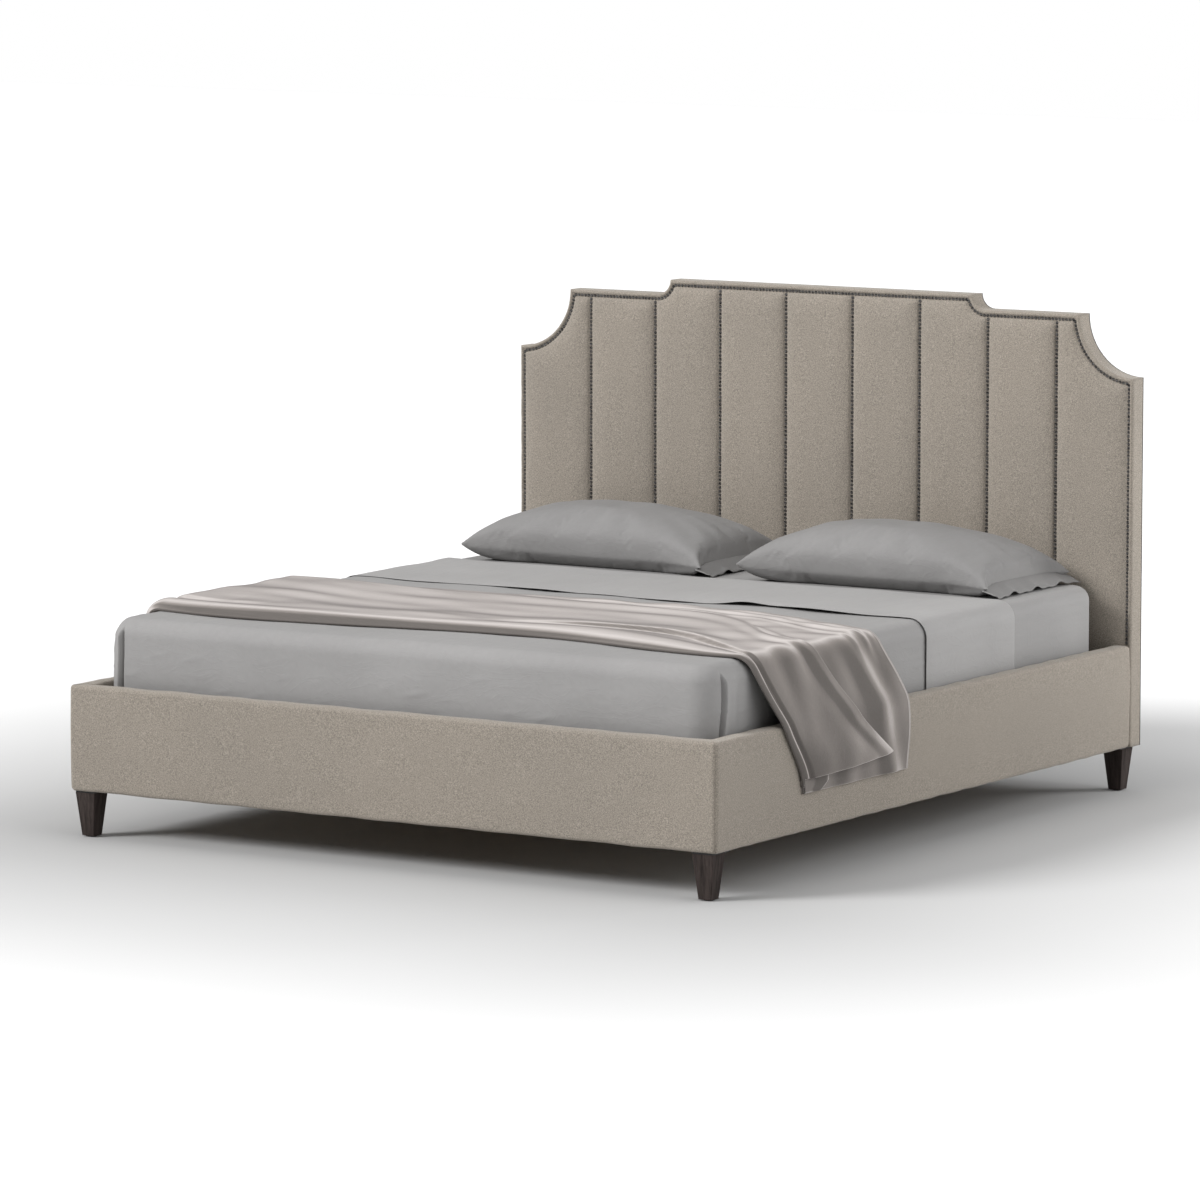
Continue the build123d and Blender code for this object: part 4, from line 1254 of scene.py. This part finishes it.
def build_world():
    """White for the camera, and for everything else a light that grows from the horizon upwards."""
    world = bpy.data.worlds.new("studio")
    bpy.context.scene.world = world
    world.use_nodes = True
    tree = world.node_tree
    tree.nodes.clear()
    white = (1, 1, 1, 1)
    direction = add_node(tree, "TexCoord", {}).outputs["Generated"]
    up = add_node(tree, "SeparateXYZ", {"Vector": direction}).outputs["Z"]
    levels = {"Value": up, "To Min": HORIZON_LIGHT, "To Max": OVERHEAD_LIGHT}
    strength = add_node(tree, "MapRange", levels).outputs["Result"]
    light = add_node(tree, "Background", {"Color": white, "Strength": strength}).outputs[0]
    seen = add_node(tree, "Background", {"Color": white, "Strength": 1.0}).outputs[0]
    camera_ray = add_node(tree, "LightPath", {}).outputs["Is Camera Ray"]
    mix = add_node(tree, "MixShader", {"Fac": camera_ray, 1: light, 2: seen})
    add_node(tree, "OutputWorld", {"Surface": mix.outputs[0]})


def lamp(name, kind, place, target, power, **settings):
    """Soft light that isn't seen itself."""
    data = bpy.data.lights.new(name, kind)
    data.energy = power
    for setting, value in settings.items():
        setattr(data, setting, value)
    thing = in_scene(bpy.data.objects.new(name, data))
    thing.visible_camera = False
    thing.location = place
    direction = Vector(target) - Vector(place)
    thing.rotation_euler = direction.to_track_quat("-Z", "Y").to_euler()


def build_lights():
    lamp("key", "SUN", (-1.06, -1.25, 1.0), (0, 0, 0), 2.95, angle=radians(22))
    lamp("fill", "SUN", (2.6, 0.5, 0.62), (0, 0, 0), 1.60, angle=radians(76))
    lamp("head_softbox", "AREA", (0.3, -0.8, 2.4), (0, 1.0, 0.9), 9, size=1.2)
    lamp("side_softbox", "AREA", (2.3, 2.2, 0.9), (0.97, 1.1, 0.8), 20, size=0.7)


def build_camera():
    """Long lens, a little above the bed, from its foot's right-hand side."""
    target = Vector((-0.053, 0.002, 0.560))
    distance = 18.3
    azimuth = radians(32.29)
    elevation = radians(7.10)
    data = bpy.data.cameras.new("camera")
    data.lens = 208.6
    data.sensor_width = 36
    data.clip_end = 100
    camera = in_scene(bpy.data.objects.new("camera", data))
    camera.rotation_euler = (pi / 2 - elevation, 0, azimuth)
    camera.location = target + camera.rotation_euler.to_matrix() @ Vector((0, 0, distance))
    bpy.context.scene.camera = camera


hard_materials()
soft_materials()
dress_frame()
build_headboard()
build_rails()
build_mattress()
build_fitted_sheet()
build_coverlet()
build_turn_down()
build_pillows()
build_throw()
build_stage()
build_world()
build_lights()
build_camera()
bpy.context.scene.view_settings.view_transform = "Standard"
